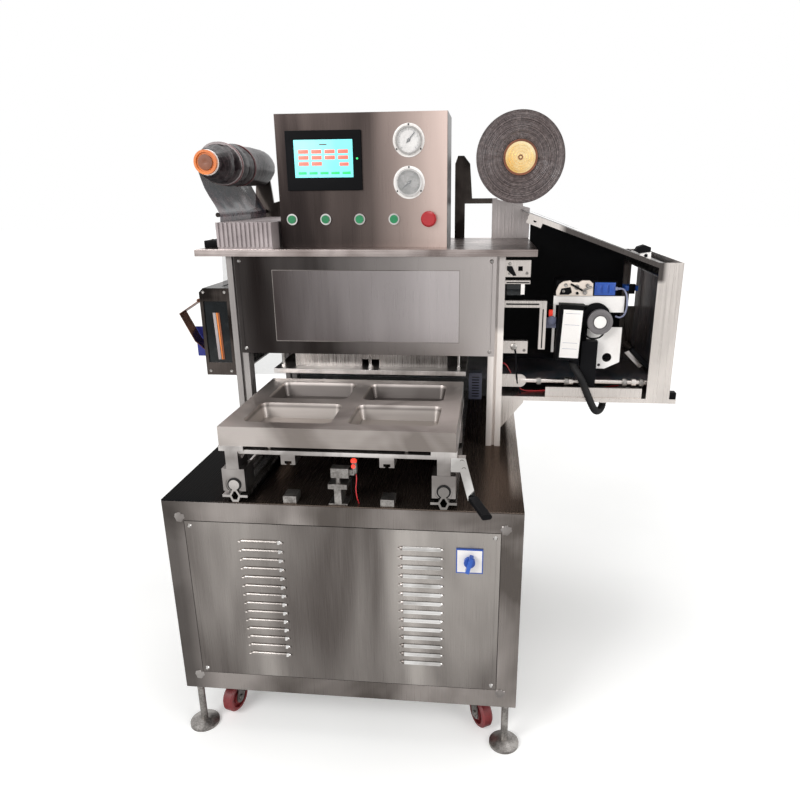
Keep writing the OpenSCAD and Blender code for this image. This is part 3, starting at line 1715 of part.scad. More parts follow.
module coder_plate() {
  x0 = coder_x;
  z1 = coder_z1;
  color("white") on_floor() {
    sheet_y(coder_front, coder_t) difference() {
      translate([x0, z1]) polygon([
        [0, 0], [coder_w, 0], [coder_w, -notch_z], [notch_x, -notch_z], [notch_x, -neck_z],
        [coder_w, -neck_z], [coder_w, lobe_cut - coder_h], [coder_w - 2 * lobe_cut, -coder_h],
        [coder_w - lobe_w + lobe_cut, -coder_h], [coder_w - lobe_w, 2 * lobe_cut - coder_h],
        [coder_w - lobe_w, -neck_z], [notch_x - neck_w, -neck_z], [notch_x - neck_w, -band_w],
        [arm_w, -band_w], [arm_w, -arm_h], [0, -arm_h]
      ]);
      translate([x0 + coder_w - plate_hole_in, z1 - plate_hole_drop]) circle(d = plate_hole_d);
      translate([x0 + coder_w - small_hole_in, z1 - small_hole_drop]) circle(d = small_hole_d);
    }
    along_y(x0 + coder_knob_in, coder_front - coder_pin_l, z1 - coder_knob_drop, coder_pin_d,
      coder_pin_l + coder_t / 2);
  }
}

module coder_knob() {
  color("dimgray") on_floor()
    translate([coder_x + coder_knob_in, coder_front - seat, coder_z1 - coder_knob_drop])
    rotate([90, 0, 0]) difference() {
      union() {
        cylinder(d = coder_knob_d, h = coder_knob_h - knob_dish);
        difference() {
          cylinder(d = coder_knob_d, h = coder_knob_h);
          cylinder(d = coder_hub_d + 2 * knob_dish, h = coder_knob_h + over);
        }
        cylinder(d = coder_hub_d, h = coder_knob_h);
      }
      translate([0, 0, -over]) cylinder(d = coder_pin_d + 2 * run_fit, h = coder_pin_l + seat + over);
    }
}

// A round run between two points, with a slightly larger ball at its start
module hose_run(p, q) {
  v = q - p;
  translate(p) {
    sphere(d = hose_d + 2 * hose_ball);
    rotate([0, acos(v[2] / norm(v)), atan2(v[1], v[0])]) cylinder(d = hose_d, h = norm(v));
  }
}

// Its children at the upper left corner of the coder's leaning case
module at_case() {
  translate([coder_x + case_in, coder_front - case_d, coder_z1 - case_drop]) rotate([0, case_lean, 0])
    children();
}

// Flexible conduit from a collar under the coder's case, in front of the wing's floor and up into its gland
module coder_hose() {
  y0 = front_y - hose_out;
  start = [coder_x + hose_in, coder_front - case_d / 2, coder_z1 - case_drop - case_h - hose_in_z];
  lean = [start[0] + hose_bend_x, y0, start[2] - hose_run_x];
  low = [lean[0] + hose_run_x, y0, wing_z0 - hose_drop / 4];
  turn = [low[0] + hose_bend, front_y + hose_bend / 2, wing_z0 - hose_drop];
  under = [hose_end_x, hose_end_y, turn[2]];
  color("black") on_floor() {
    at_case() translate([case_w - hose_d * hose_side_share, case_d / 2, -case_h - gland_h])
      cylinder(d = hose_d + 2 * hose_wall, h = gland_h);
    hose_run(start, lean);
    hose_run(lean, low);
    hose_run(low, turn);
    hose_run(turn, under);
    hose_run(under, [hose_end_x, hose_end_y, wing_z0]);
  }
}

module coder_body() {
  x0 = coder_x + motor_in;
  x1 = x0 + motor_w;
  color("black") on_floor() {
    difference() {
      translate([coder_x + carrier_in, 0, 0])
        span([0, carrier_w], [coder_front - carrier_t, coder_front],
          [guide_z - carrier_clamp, coder_z1 - carrier_low]);
      along_x(coder_x, guide_y, guide_z, guide_d, coder_w);
    }
    at_case() span([0, case_w], [0, case_d], [-case_h, 0]);
    translate([0, coder_y, coder_z1]) {
      span([x0, x1 + valve_w], [0, motor_deep], [valve_up - motor_h, valve_up]);
      span([x0, x1], [0, motor_deep], [0, motor_up]);
      span([x1 + seat, x1 + valve_w], [0, motor_deep / 2], [0, valve_up + valve_h]);
    }
    along_x(coder_x - tip_l / 2, coder_y + tip_d, coder_z1 - tip_drop, tip_d, tip_l);
  }
}

// Outline of the pull unit in X and Z
module pull_outline() {
  polygon([
    [-pull_x, pull_z0], [-side_x, pull_z0], [-side_x, pull_z1], [pull_chamfer - pull_x, pull_z1],
    [-pull_x, pull_z1 - pull_chamfer]
  ]);
}

// Places of the belt guard's hinge axis
module guard_axis() {
  translate([hinge_x, guard_y, hinge_z]) children();
}

module pull_frame() {
  knuckle = guard_eye_l + seat;
  color("silver") on_floor() {
    difference() {
      sheet_y(front_y, rear_y - front_y) difference() {
        pull_outline();
        translate([pull_t, -pull_t]) pull_outline();
      }
      span([-pull_x - over, 2 * pull_t - pull_x], [motor_y - mount_t, motor_y + motor_l + cap_end_l + motor_clear],
        [motor_z - motor_d / 2 - motor_clear, motor_z + motor_d / 2 + motor_clear]);
      film_gap(pull_z1, pull_t);
    }
    difference() {
      for (y = [front_y, rear_y - pull_t]) sheet_y(y, pull_t) pull_outline();
      span([frame_side - pull_x, -side_x - frame_side], [front_y - over, front_y + pull_t + over],
        [pull_z0 + band_h, pull_z1 - band_h]);
    }
    difference() {
      for (y = [bearing_y, bearing_y1])
        span([pull_t / 2 - pull_x, -side_x], [y, y + mount_t], [pull_z0, draw_z + draw_d / 2]);
      along_y(draw_x, front_y, draw_z, journal_d + 2 * run_fit, cab_d);
    }
    guard_axis() {
      along_y(0, 0, 0, guard_pin_d, guard_l);
      span([0, guard_gap + guard_eye_d / 2 + pull_t / 2], [knuckle, guard_l - knuckle],
        [-guard_eye_d / 2, guard_eye_d / 2]);
      along_y(0, knuckle, 0, guard_eye_d, guard_l - 2 * knuckle);
    }
  }
}

module pull_motor() {
  color("blue") on_floor() translate([motor_x, motor_y, motor_z]) {
    along_y(0, 0, 0, motor_d, motor_l);
    along_y(0, motor_l, 0, motor_d * motor_cap_share, cap_end_l);
    span([-mount_out, -pull_x - motor_x], [-mount_t, 0], [-mount_h / 2, mount_h / 2]);
  }
}

// A flat strip between two points in X and Z, with its thickness on the left of the run
module strip(p, q) {
  translate(p) rotate(atan2(q[1] - p[1], q[0] - p[0])) square([norm(q - p), guard_t]);
}

module belt_guard() {
  tip = [-pull_x - guard_out - hinge_x, -guard_drop];
  low = [-pull_x - guard_side - hinge_x, -guard_fall];
  end = [-pull_x - guard_gap - guard_t / 2 - hinge_x, -guard_end];
  color("black") on_floor() guard_axis() difference() {
    union() {
      sheet_y(0, guard_l) {
        strip([0, 0], tip);
        strip(tip, low);
        strip(low, end);
      }
      for (y = [0, guard_l - guard_eye_l]) along_y(0, y, 0, guard_eye_d, guard_eye_l);
    }
    along_y(0, -over, 0, guard_pin_d + 2 * run_fit, guard_l + 2 * over);
    along_y(0, guard_eye_l, 0, guard_eye_d + 2 * seat, guard_l - 2 * guard_eye_l);
  }
}

module draw_roller() {
  color("black") on_floor() {
    along_y(draw_x, film_y - over, draw_z, draw_d, film_w + 2 * over);
    along_y(draw_x, bearing_y, draw_z, journal_d, bearing_y1 + mount_t - bearing_y);
  }
}

base_frame();
table_top();
front_panel();
cabinet_panels();
panel_screws();
isolator_plate();
isolator_knob();
levelling_feet();
caster_mounts();
caster_fork_left();
caster_fork_right();
wheel_front_left();
wheel_front_right();
rear_wheels();
rails();
table_stops();
bearing_blocks();
carriage_frame();
mould();
mould_fittings();
pull_handle();
handle_grip();
uprights();
top_shelf();
hood_panel();
smoked_covers();
head_bridge();
head_cylinder();
head_columns();
heater_blocks();
film_frame();
control_box();
hmi_panel();
gauges();
needle_upper();
needle_lower();
button_collars();
button_1();
button_2();
button_3();
button_4();
stop_button();
roll_brackets();
supply_film();
supply_shaft();
scrap_film();
take_up_shaft();
film_web();
wing_frame();
wing_back();
turn_roller();
coder_plate();
coder_body();
coder_hose();
coder_knob();
pull_frame();
pull_motor();
belt_guard();
draw_roller();
ribbed_box();
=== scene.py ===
# %% [markdown]
# # A drawer-type tray sealer, dressed in Blender
# The real machine is a stainless cabinet on castors. A drawer with four tray pockets
# slides under a heated head, and a wing on its right side carries the lidding film.
# The shapes come finished from the CAD frame. This lesson gives them finishes, and
# adds the small forms that a CAD model leaves out. All unevenness comes from noise that
# is read at fixed places, so each run gives the same machine.

# %% Load the frame
import bmesh
import bpy
import math
from mathutils import Matrix, Vector, noise


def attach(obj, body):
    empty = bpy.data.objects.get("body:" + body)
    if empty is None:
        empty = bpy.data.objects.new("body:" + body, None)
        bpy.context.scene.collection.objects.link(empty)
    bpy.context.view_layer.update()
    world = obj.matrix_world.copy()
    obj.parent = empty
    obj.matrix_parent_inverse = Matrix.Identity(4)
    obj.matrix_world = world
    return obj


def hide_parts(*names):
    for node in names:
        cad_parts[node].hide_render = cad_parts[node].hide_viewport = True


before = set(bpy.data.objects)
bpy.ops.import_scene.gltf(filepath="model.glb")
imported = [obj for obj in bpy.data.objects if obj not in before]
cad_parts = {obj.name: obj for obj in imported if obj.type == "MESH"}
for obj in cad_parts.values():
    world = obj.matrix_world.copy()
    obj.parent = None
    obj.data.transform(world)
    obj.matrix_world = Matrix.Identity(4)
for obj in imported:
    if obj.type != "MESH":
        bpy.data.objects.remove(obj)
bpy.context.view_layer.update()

# %% [markdown]
# ## One ruler for everything
# The machine was drawn in millimetres from the middle of its cabinet front, at floor
# level: X to the right, Y to the back, Z up. Blender wants metres from the middle of
# the whole footprint. Each added piece could be modelled anywhere and then moved into
# place, but one small function that turns the first into the second is simpler: every
# piece is then placed by the numbers on the drawing.

# %% From the drawing to Blender
MID_X, MID_Y = 157.0, 425.825


def place(x, y, z):
    """A point on the drawing, in millimetres, as a point in the frame, in metres."""
    return Vector(((x - MID_X) / 1000, (y - MID_Y) / 1000, z / 1000))


TABLE_CORNER = (-425, 0, 670)
print("front left corner of the table:", place(*TABLE_CORNER))

# %% [markdown]
# ## The camera
# The photograph was taken from near the front, above the control box's middle, looking
# down by about eighteen degrees. The camera could be aimed by hand at the middle of the
# machine, but its place and directions were worked out from the corners of parts of
# known size, so they are written as they came. Its upward direction follows from the
# other two. A small shift stands for the crop, so verticals lean as in the photograph.

# %% Set the camera
LENS_MM, SHIFT_X, SHIFT_Y = 30.243, -0.02185, 0.02215
CAMERA_AT = (0.172705, -1.798614, 1.348657)
CAMERA_RIGHT = (0.994782, 0.101725, -0.007854)
CAMERA_FORWARD = (-0.098987, 0.943607, -0.315922)
lens_data = bpy.data.cameras.new("photo_camera")
lens_data.sensor_width = 36
lens_data.lens = LENS_MM
lens_data.shift_x = SHIFT_X
lens_data.shift_y = SHIFT_Y
lens_data.clip_end = 60
camera = bpy.data.objects.new("photo_camera", lens_data)
bpy.context.scene.collection.objects.link(camera)
right = Vector(CAMERA_RIGHT).normalized()
forward = Vector(CAMERA_FORWARD).normalized()
up = right.cross(forward).normalized()
aim = Matrix((right, up, -forward)).transposed().to_4x4()
camera.matrix_world = Matrix.Translation(CAMERA_AT) @ aim
bpy.context.scene.camera = camera
print("camera looks down by", round(math.degrees(math.asin(-forward.z)), 1), "degrees")

# %% [markdown]
# ## Finishes are small node graphs
# Every surface of the machine has a grain from the way it was made, and slow patches
# from handling and from what it mirrors. A picture could be wrapped round each piece,
# but it would stretch at the sides and need unwrapped meshes. So each finish is a few
# nodes: one noise stretched along the polishing or the moulding, and one slow cloud.
# Both are read in object coordinates, so they stay on the piece when it moves.

# %% Helpers for colours and nodes


def tint(r, g, b):
    """A colour as read from a picture, 0 to 255, as the linear value Blender wants."""
    def one(c):
        c = c / 255
        return c / 12.92 if c <= 0.04045 else ((c + 0.055) / 1.055) ** 2.4
    return (one(r), one(g), one(b), 1)


def add(tree, kind, inputs=None, **settings):
    """A node with its settings and inputs; an input is a value or another's output."""
    step = tree.nodes.new(kind)
    for key, value in settings.items():
        setattr(step, key, value)
    for key, value in (inputs or {}).items():
        if isinstance(value, bpy.types.NodeSocket):
            tree.links.new(value, step.inputs[key])
        else:
            step.inputs[key].default_value = value
    return step


print("a mid grey of 128 is", round(tint(128, 128, 128)[0], 3), "in linear light")

# %% Helpers for noise, tones and new finishes


def noise_of(tree, coords, scale, stretch=(1, 1, 1), detail=3.0, distortion=0.0):
    """Noise at a number of spots per metre, stretched along the short axes."""
    mapped = add(tree, "ShaderNodeMapping", {"Vector": coords, "Scale": stretch})
    spots = {"Vector": mapped.outputs[0], "Scale": scale, "Detail": detail,
             "Distortion": distortion}
    return add(tree, "ShaderNodeTexNoise", spots).outputs["Fac"]


def ramp_of(tree, factor, stops):
    """A colour ramp with stops (position, colour)."""
    ramp = add(tree, "ShaderNodeValToRGB", {"Fac": factor})
    while len(ramp.color_ramp.elements) < len(stops):
        ramp.color_ramp.elements.new(0.5)
    for mark, (position, colour) in zip(ramp.color_ramp.elements, stops):
        mark.position = position
        mark.color = colour
    return ramp.outputs["Color"]


def blend_of(tree, a, b, share):
    """a and b mixed, both single numbers."""
    step = add(tree, "ShaderNodeMix", {"Factor": share}, data_type="FLOAT")
    tree.links.new(a, step.inputs[2])
    tree.links.new(b, step.inputs[3])
    return step.outputs[0]


def shader_of(finish):
    """The main shader of a finish."""
    return finish.node_tree.nodes["Principled BSDF"]


def new_finish(name):
    """An empty material: its tree, its main shader and its object coordinates."""
    finish = bpy.data.materials.new(name)
    finish.use_nodes = True
    tree = finish.node_tree
    coords = tree.nodes.new("ShaderNodeTexCoord").outputs["Object"]
    return finish, tree, shader_of(finish), coords


print("a finish is made of", noise_of.__name__, blend_of.__name__, ramp_of.__name__)

# %% [markdown]
# ## Metals
# Sheet steel shows long fine lines from its rolling or brushing. Its slow upright
# streaks are painted reflections in its colour. The lines could be cut into the mesh,
# but they are far finer than any face, so they go in the colour, the roughness and a
# very small bump. A metal can also sweep from its dark tone to its light one along an
# axis: painted light, a reflection that brightens one side and shade that darkens the
# other. The same helper makes brushed, cast and turned metal: only the stretch, the
# tones and the depth differ.

# %% A helper for metals
MIDDLE = {"X": MID_X, "Y": MID_Y, "Z": 0}
DARK_AT, LIGHT_AT = 0.4, 0.62


def along_axis(tree, coords, axis, start, end, low=0.0, high=1.0):
    """A number that goes from low to high between two places on an axis of the drawing."""
    across = add(tree, "ShaderNodeSeparateXYZ", {"Vector": coords}).outputs[axis]
    ends = {"Value": across, "From Min": (start - MIDDLE[axis]) / 1000,
            "From Max": (end - MIDDLE[axis]) / 1000, "To Min": low, "To Max": high}
    return add(tree, "ShaderNodeMapRange", ends).outputs[0]


def metal(name, dark, light, stretch=(1, 1, 1), lines=900, cloud=3.0, rough=(0.28, 0.42),
          bump=0.03, depth=0.0002, share=0.92, painted_reflection_streak=(1, 1, 1), painted_light_sweep=None, axis="X"):
    """A metal between two tones; a sweep (first place, last place, share of the change) paints
    light along an axis.
    """
    finish, tree, shader, coords = new_finish(name)
    grain = noise_of(tree, coords, lines, stretch, 3.0)
    # Stretched upright, the slow noise gives painted reflections as streaks.
    slow = noise_of(tree, coords, cloud, painted_reflection_streak, 3.0, 0.6)
    mixed = blend_of(tree, grain, slow, share)
    # A sweep paints light into the colour: a tone that changes along an axis, as reflections and
    # shade do.
    if painted_light_sweep:
        along = along_axis(tree, coords, axis, painted_light_sweep[0], painted_light_sweep[1], DARK_AT, LIGHT_AT)
        mixed = blend_of(tree, mixed, along, painted_light_sweep[2])
    colour = ramp_of(tree, mixed, [(DARK_AT, dark), (LIGHT_AT, light)])
    tree.links.new(colour, shader.inputs["Base Color"])
    spread = {"Value": grain, "From Min": 0.3, "From Max": 0.7,
              "To Min": rough[0], "To Max": rough[1]}
    tree.links.new(add(tree, "ShaderNodeMapRange", spread).outputs[0],
                   shader.inputs["Roughness"])
    relief = add(tree, "ShaderNodeBump", {"Height": grain, "Strength": bump,
                                          "Distance": depth})
    tree.links.new(relief.outputs[0], shader.inputs["Normal"])
    shader.inputs["Metallic"].default_value = 1.0
    return finish


print("metals go from dark at", DARK_AT, "of the noise to light at", LIGHT_AT)

# %% [markdown]
# ## The metals of this machine
# Four kinds of metal are seen: folded stainless sheet, drawn aluminium profile, cast
# or milled aluminium, and small turned parts in chrome, zinc and gold. One grey could
# dress them all, but then nothing would tell a hood from a mould. So each has its own
# two tones, and lines that run the way that its part was brushed or drawn.

# %% The metals
UPRIGHT_LINES, ACROSS_LINES, DEEP_LINES = (1, 1, 0.012), (0.012, 1, 1), (1, 0.012, 1)
# Upright streaks are painted reflections. Each sweep below is painted light: the front panel, the
# hood and the box get lighter to the right as painted reflections, and the table gets darker to
# the left and the wing's frame to the back as painted shade.
UPRIGHT_PAINTED_REFLECTION = (1, 1, 0.18)
panel_steel = metal("panel_steel", tint(86, 80, 77), tint(184, 178, 173), UPRIGHT_LINES,
                    700, 4.0, (0.26, 0.34), painted_reflection_streak=UPRIGHT_PAINTED_REFLECTION, painted_light_sweep=(-374, 200, 0.3))
frame_steel = metal("frame_steel", tint(92, 86, 82), tint(158, 151, 147),
                    UPRIGHT_LINES, 500, 3.5, (0.25, 0.38))
hood_steel = metal("hood_steel", tint(34, 29, 28), tint(208, 200, 197), UPRIGHT_LINES, 700,
                   4.5, (0.27, 0.31), 0.008, share=0.97, painted_reflection_streak=UPRIGHT_PAINTED_REFLECTION,
                   painted_light_sweep=(-140, 344, 0.88))
box_steel = metal("box_steel", tint(46, 40, 39), tint(242, 218, 208), UPRIGHT_LINES, 700,
                  4.0, (0.27, 0.32), 0.008, share=0.97, painted_reflection_streak=UPRIGHT_PAINTED_REFLECTION,
                  painted_light_sweep=(20, 245, 0.86))
dark_steel = metal("dark_steel", tint(38, 34, 32), tint(98, 90, 86),
                   UPRIGHT_LINES, 500, 4.5, (0.25, 0.38))
table_steel = metal("table_steel", tint(15, 17, 20), tint(104, 92, 84),
                    DEEP_LINES, 500, 2.2, (0.2, 0.32), painted_light_sweep=(-330, -110, 0.85))
shader_of(table_steel).inputs["Specular Tint"].default_value = (0.3, 0.3, 0.3, 1)
shader_of(table_steel).inputs["Metallic"].default_value = 0.88
bright_alu = metal("bright_alu", tint(128, 124, 121), tint(190, 185, 182),
                   UPRIGHT_LINES, 500, 5.0, (0.2, 0.34))
upright_alu = metal("upright_alu", tint(126, 121, 119), tint(190, 185, 182),
                    UPRIGHT_LINES, 500, 4.0, (0.36, 0.5), painted_reflection_streak=UPRIGHT_PAINTED_REFLECTION)
shader_of(upright_alu).inputs["Metallic"].default_value = 0.6
wing_alu = metal("wing_alu", tint(98, 90, 86), tint(240, 232, 226), UPRIGHT_LINES, 400, 4.0,
                 (0.24, 0.36), painted_light_sweep=(520, 418, 0.8), axis="Y")
shelf_alu = metal("shelf_alu", tint(138, 126, 122), tint(200, 188, 184),
                  ACROSS_LINES, 500, 6.0, (0.2, 0.34))
mould_alu = metal("mould_alu", tint(132, 124, 119), tint(192, 184, 179),
                  ACROSS_LINES, 400, 4.0, (0.32, 0.44), 0.04, share=0.95)
cast_alu = metal("cast_alu", tint(164, 159, 156), tint(228, 223, 220),
                 UPRIGHT_LINES, 400, 8.0, (0.28, 0.42))
chrome = metal("chrome", tint(176, 173, 170), tint(226, 224, 222),
               (1, 1, 1), 60, 8.0, (0.06, 0.14), 0.02)
zinc = metal("zinc", tint(116, 112, 109), tint(172, 168, 164),
             (1, 1, 1), 260, 30.0, (0.3, 0.5), 0.15, 0.0003, 0.6)
gold = metal("gold", tint(236, 194, 120), tint(255, 238, 196),
             (1, 1, 1), 200, 12.0, (0.22, 0.36))
copper = metal("copper", tint(70, 44, 34), tint(150, 104, 82),
               (1, 1, 1), 200, 12.0, (0.22, 0.36))
print("metals so far:", len([m for m in bpy.data.materials if m.use_nodes]))

# %% [markdown]
# ## Painted shade and light on one metal
# A polished sheet mirrors what stands round it. Deep pockets, the back of a box and the
# low parts of the carriage mirror dark things, and what faces the light is paler than
# the rest. Boards and lamps could be hung round the scene for this, but they would
# change every other part too. So painted shade and painted highlights go in as a second
# tone, mixed in where ramps along the drawing's axes have risen, and it stays on the
# piece from all sides.

# %% Painted shade and light


def paint_shade_and_light_where(finish, ramps, colour, share):
    """Mixes in painted shade and light: a colour, where every ramp (axis, start, end) has risen.
    """
    tree, shader = finish.node_tree, shader_of(finish)
    coords = tree.nodes.new("ShaderNodeTexCoord").outputs["Object"]
    amount = add(tree, "ShaderNodeValue").outputs[0]
    amount.default_value = share
    for ramp in ramps:
        amount = add(tree, "ShaderNodeMath", {0: amount, 1: along_axis(tree, coords, *ramp)},
                     operation="MULTIPLY").outputs[0]
    mixed = add(tree, "ShaderNodeMix", {"Factor": amount, 7: colour}, data_type="RGBA")
    tree.links.new(shader.inputs["Base Color"].links[0].from_socket, mixed.inputs[6])
    tree.links.new(mixed.outputs[2], shader.inputs["Base Color"])


PAINTED_SHADE_AND_LIGHT = [
    # Painted shade inside the mould's pockets, then a painted highlight on the two front ones.
    (mould_alu, [("Y", 22, 30), ("Z", 852, 846)], tint(72, 67, 65), 0.8),
    (mould_alu, [("Z", 848, 842), ("Y", 245, 225), ("Y", 31, 33)], tint(196, 188, 182), 0.55),
    # Painted shade on the left end of the base frame.
    (frame_steel, [("X", -330, -400)], tint(60, 56, 54), 0.75),
    # A painted highlight on the right uprights, strongest on their lower part.
    (upright_alu, [("X", 320, 350)], tint(206, 198, 194), 0.7),
    (upright_alu, [("X", 320, 350), ("Z", 1010, 990)], tint(252, 244, 238), 0.9),
    # Painted shade on the control box behind its front, and on its right side.
    (box_steel, [("Y", 470, 475)], tint(44, 40, 39), 0.9),
    (box_steel, [("X", 218.4, 219.4)], tint(38, 36, 36), 0.92),
    # Painted shade on the wing's sloping cover between its edges.
    (wing_alu, [("X", 784, 772), ("Z", 1125, 1135), ("X", 505, 525)], tint(50, 44, 43), 0.9),
    # A painted highlight on the roll bracket on the right.
    (dark_steel, [("X", 336, 340)], tint(208, 200, 198), 0.92),
    # A painted highlight on the strip of the table right of the head, which brightens to the
    # back.
    (table_steel, [("X", 392, 402), ("Y", 60, 330)], tint(250, 240, 232), 0.85),
    # Painted shade on the low parts of the carriage.
    (cast_alu, [("Z", 800, 780)], tint(104, 98, 95), 0.65),
]
for finish, ramps, colour, share in PAINTED_SHADE_AND_LIGHT:
    paint_shade_and_light_where(finish, ramps, colour, share)
print("second tones:", len(PAINTED_SHADE_AND_LIGHT))

# %% [markdown]
# ## Paint, plastic and rubber
# These aren't metal: the colour sits under a clear skin. Paint has a faint orange-peel
# bump, plastic a fine moulded grain, and rubber a dull, dusty one. Each could have its
# own node graph, but they differ from the metals only in a few numbers. So one more
# short helper makes a metal and takes the metal out of it.

# %% A helper for coats and mouldings


def coat(name, dark, light, spots=700, cloud=6.0, rough=(0.35, 0.5), bump=0.08,
         depth=0.0002, share=0.7, clear=0.0, glow=0.0, shine=0.5):
    """A painted or moulded surface between two tones."""
    finish = metal(name, dark, light, (1, 1, 1), spots, cloud, rough, bump, depth, share)
    shader = shader_of(finish)
    shader.inputs["Metallic"].default_value = 0.0
    shader.inputs["Coat Weight"].default_value = clear
    shader.inputs["Specular IOR Level"].default_value = shine
    if glow:
        shader.inputs["Emission Color"].default_value = light
        shader.inputs["Emission Strength"].default_value = glow
    return finish


print("coats are made by", coat.__name__, "from", metal.__name__)

# %% The colours of the coats and mouldings
white_paint = coat("white_paint", tint(236, 231, 227), tint(252, 249, 246), clear=0.2)
cream_paint = coat("cream_paint", tint(218, 204, 192), tint(243, 232, 220))
black_paint = coat("black_paint", tint(5, 5, 7), tint(14, 15, 18), rough=(0.4, 0.6),
                   shine=0.14)
black_plastic = coat("black_plastic", tint(7, 7, 9), tint(16, 16, 18), rough=(0.5, 0.65),
                     shine=0.08)
grey_plastic = coat("grey_plastic", tint(92, 88, 90), tint(122, 118, 119))
green_plastic = coat("green_plastic", tint(4, 112, 66), tint(10, 150, 92), clear=0.3)
red_plastic = coat("red_plastic", tint(164, 26, 34), tint(204, 44, 50), clear=0.3)
orange_plastic = coat("orange_plastic", tint(196, 96, 34), tint(238, 140, 62), clear=0.2)
brown_plastic = coat("brown_plastic", tint(104, 58, 38), tint(146, 84, 52), 900)
blue_plastic = coat("blue_plastic", tint(20, 64, 150), tint(42, 100, 198), clear=0.2)
blue_paint = coat("blue_paint", tint(12, 26, 120), tint(24, 44, 160), clear=0.3)
red_polymer = coat("red_polymer", tint(92, 30, 34), tint(140, 54, 56), 300)
rubber = coat("rubber", tint(12, 12, 13), tint(28, 27, 27), 500, 20, (0.5, 0.75), 0.3,
              shine=0.25)
grille_grey = coat("grille_grey", tint(140, 130, 130), tint(182, 172, 172), shine=0.3)
card_brown = coat("card_brown", tint(98, 54, 34), tint(150, 88, 56), 500)
duct_grey = coat("duct_grey", tint(120, 124, 150), tint(160, 164, 188))
screen_cyan = coat("screen_cyan", tint(118, 232, 236), tint(150, 250, 250), glow=0.35)
key_red = coat("key_red", tint(244, 112, 98), tint(255, 134, 118), glow=0.3)
key_green = coat("key_green", tint(40, 214, 110), tint(70, 240, 140), glow=0.3)
lamp_red = coat("lamp_red", tint(216, 40, 30), tint(250, 70, 50), glow=0.6)
print("coats:", len([m for m in bpy.data.materials if m.use_nodes]), "finishes so far")

# %% [markdown]
# ## Smoked covers and clear film
# The panes behind the head and on the pull unit are smoked acrylic: dark, glossy and
# only partly clear. The lidding film is thin and clear, with a cool cast where it
# creases. Both could refract light as real glass does, but thin sheets hardly bend it.
# A low alpha under a smooth skin looks the same, is quicker, and survives an export.

# %% Clear finishes


def clear_sheet(name, dark, light, alpha, rough=(0.05, 0.12), spots=30, cloud=9.0, bump=0.05):
    """A sheet that lets part of the light through."""
    finish = coat(name, dark, light, spots, cloud, rough, bump, 0.001, 0.5)
    shader_of(finish).inputs["Alpha"].default_value = alpha
    return finish


smoked = clear_sheet("smoked_acrylic", tint(6, 10, 13), tint(18, 24, 28), 0.9)
glass = clear_sheet("dial_glass", tint(220, 224, 226), tint(245, 246, 247), 0.14)
clear_film = clear_sheet("clear_film", tint(92, 116, 132), tint(196, 176, 178), 0.3,
                         (0.08, 0.2), 60, 14.0, 0.3)
limp_film = clear_sheet("limp_film", tint(16, 38, 52), tint(112, 88, 92), 0.92,
                        (0.15, 0.3), 40, 9.0, 0.5)
print("clear finishes ready:", smoked.name, clear_film.name)

# %% [markdown]
# ## Dress the CAD nodes
# Each node of the frame already has the right shape, so it only gets its finish. The
# nodes could be dressed one by one, but a list is easier to check. It reads as a
# paint schedule: one finish, and the nodes that wear it. A node that a fuller piece
# replaces later still has its finish here.

# %% Finishes by node
WEARS = {
    panel_steel: ["front_panel", "cabinet_panels"],
    frame_steel: ["base_frame", "caster_mounts"],
    dark_steel: ["pull_frame", "roll_brackets"],
    box_steel: ["control_box"],
    hood_steel: ["hood_panel"],
    table_steel: ["table_top"],
    upright_alu: ["uprights"],
    cast_alu: ["carriage_frame", "bearing_blocks", "film_frame"],
    bright_alu: ["head_bridge", "heater_blocks", "rails", "turn_roller", "draw_roller"],
    wing_alu: ["wing_frame"],
    shelf_alu: ["top_shelf"],
    mould_alu: ["mould"],
    chrome: ["pull_handle", "head_columns", "button_collars", "gauges", "panel_screws"],
    gold: ["supply_shaft"],
    orange_plastic: ["take_up_shaft"],
    zinc: ["levelling_feet", "mould_fittings", "table_stops", "caster_fork_left",
           "caster_fork_right"],
    white_paint: ["isolator_plate", "coder_plate"],
    # The wing's back plate is stainless; the black paint on it is painted shade.
    black_paint: ["wing_back", "head_cylinder"],
    black_plastic: ["hmi_panel", "handle_grip", "needle_upper", "needle_lower",
                    "coder_body"],
    rubber: ["coder_hose"],
    grey_plastic: ["coder_knob"],
    green_plastic: ["button_1", "button_2", "button_3", "button_4"],
    red_plastic: ["stop_button"],
    blue_plastic: ["isolator_knob"],
    blue_paint: ["pull_motor"],
    red_polymer: ["wheel_front_left", "wheel_front_right", "rear_wheels"],
    grille_grey: ["ribbed_box"],
    copper: ["belt_guard"],
    smoked: ["smoked_covers"],
    clear_film: ["supply_film", "scrap_film", "film_web"],
}
for finish, names in WEARS.items():
    for name in names:
        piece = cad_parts[name]
        for held in piece.material_slots:
            held.material = finish
        if not piece.material_slots:
            piece.data.materials.append(finish)
bare = set(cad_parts) - {n for names in WEARS.values() for n in names}
print("nodes still to dress:", sorted(bare))

# %% [markdown]
# ## Broken edges
# Folded and machined edges always catch a thin line of light, but the CAD faces meet
# at knife edges. The edges could be rounded on the drawing, which makes its solids
# heavy. Here each node gets modifiers that leave its mesh as it is: one welds the
# points that the import split, and one breaks the sharp edges by half a millimetre or
# more. A third one marks what is round as smooth, and a fourth keeps large flat faces
# flat, so that no false shine runs across a sheet from its edges. The control box has
# one more: it joins the many small faces of its front, so that they shade as one.

# %% A helper for smooth shading and one for broken edges


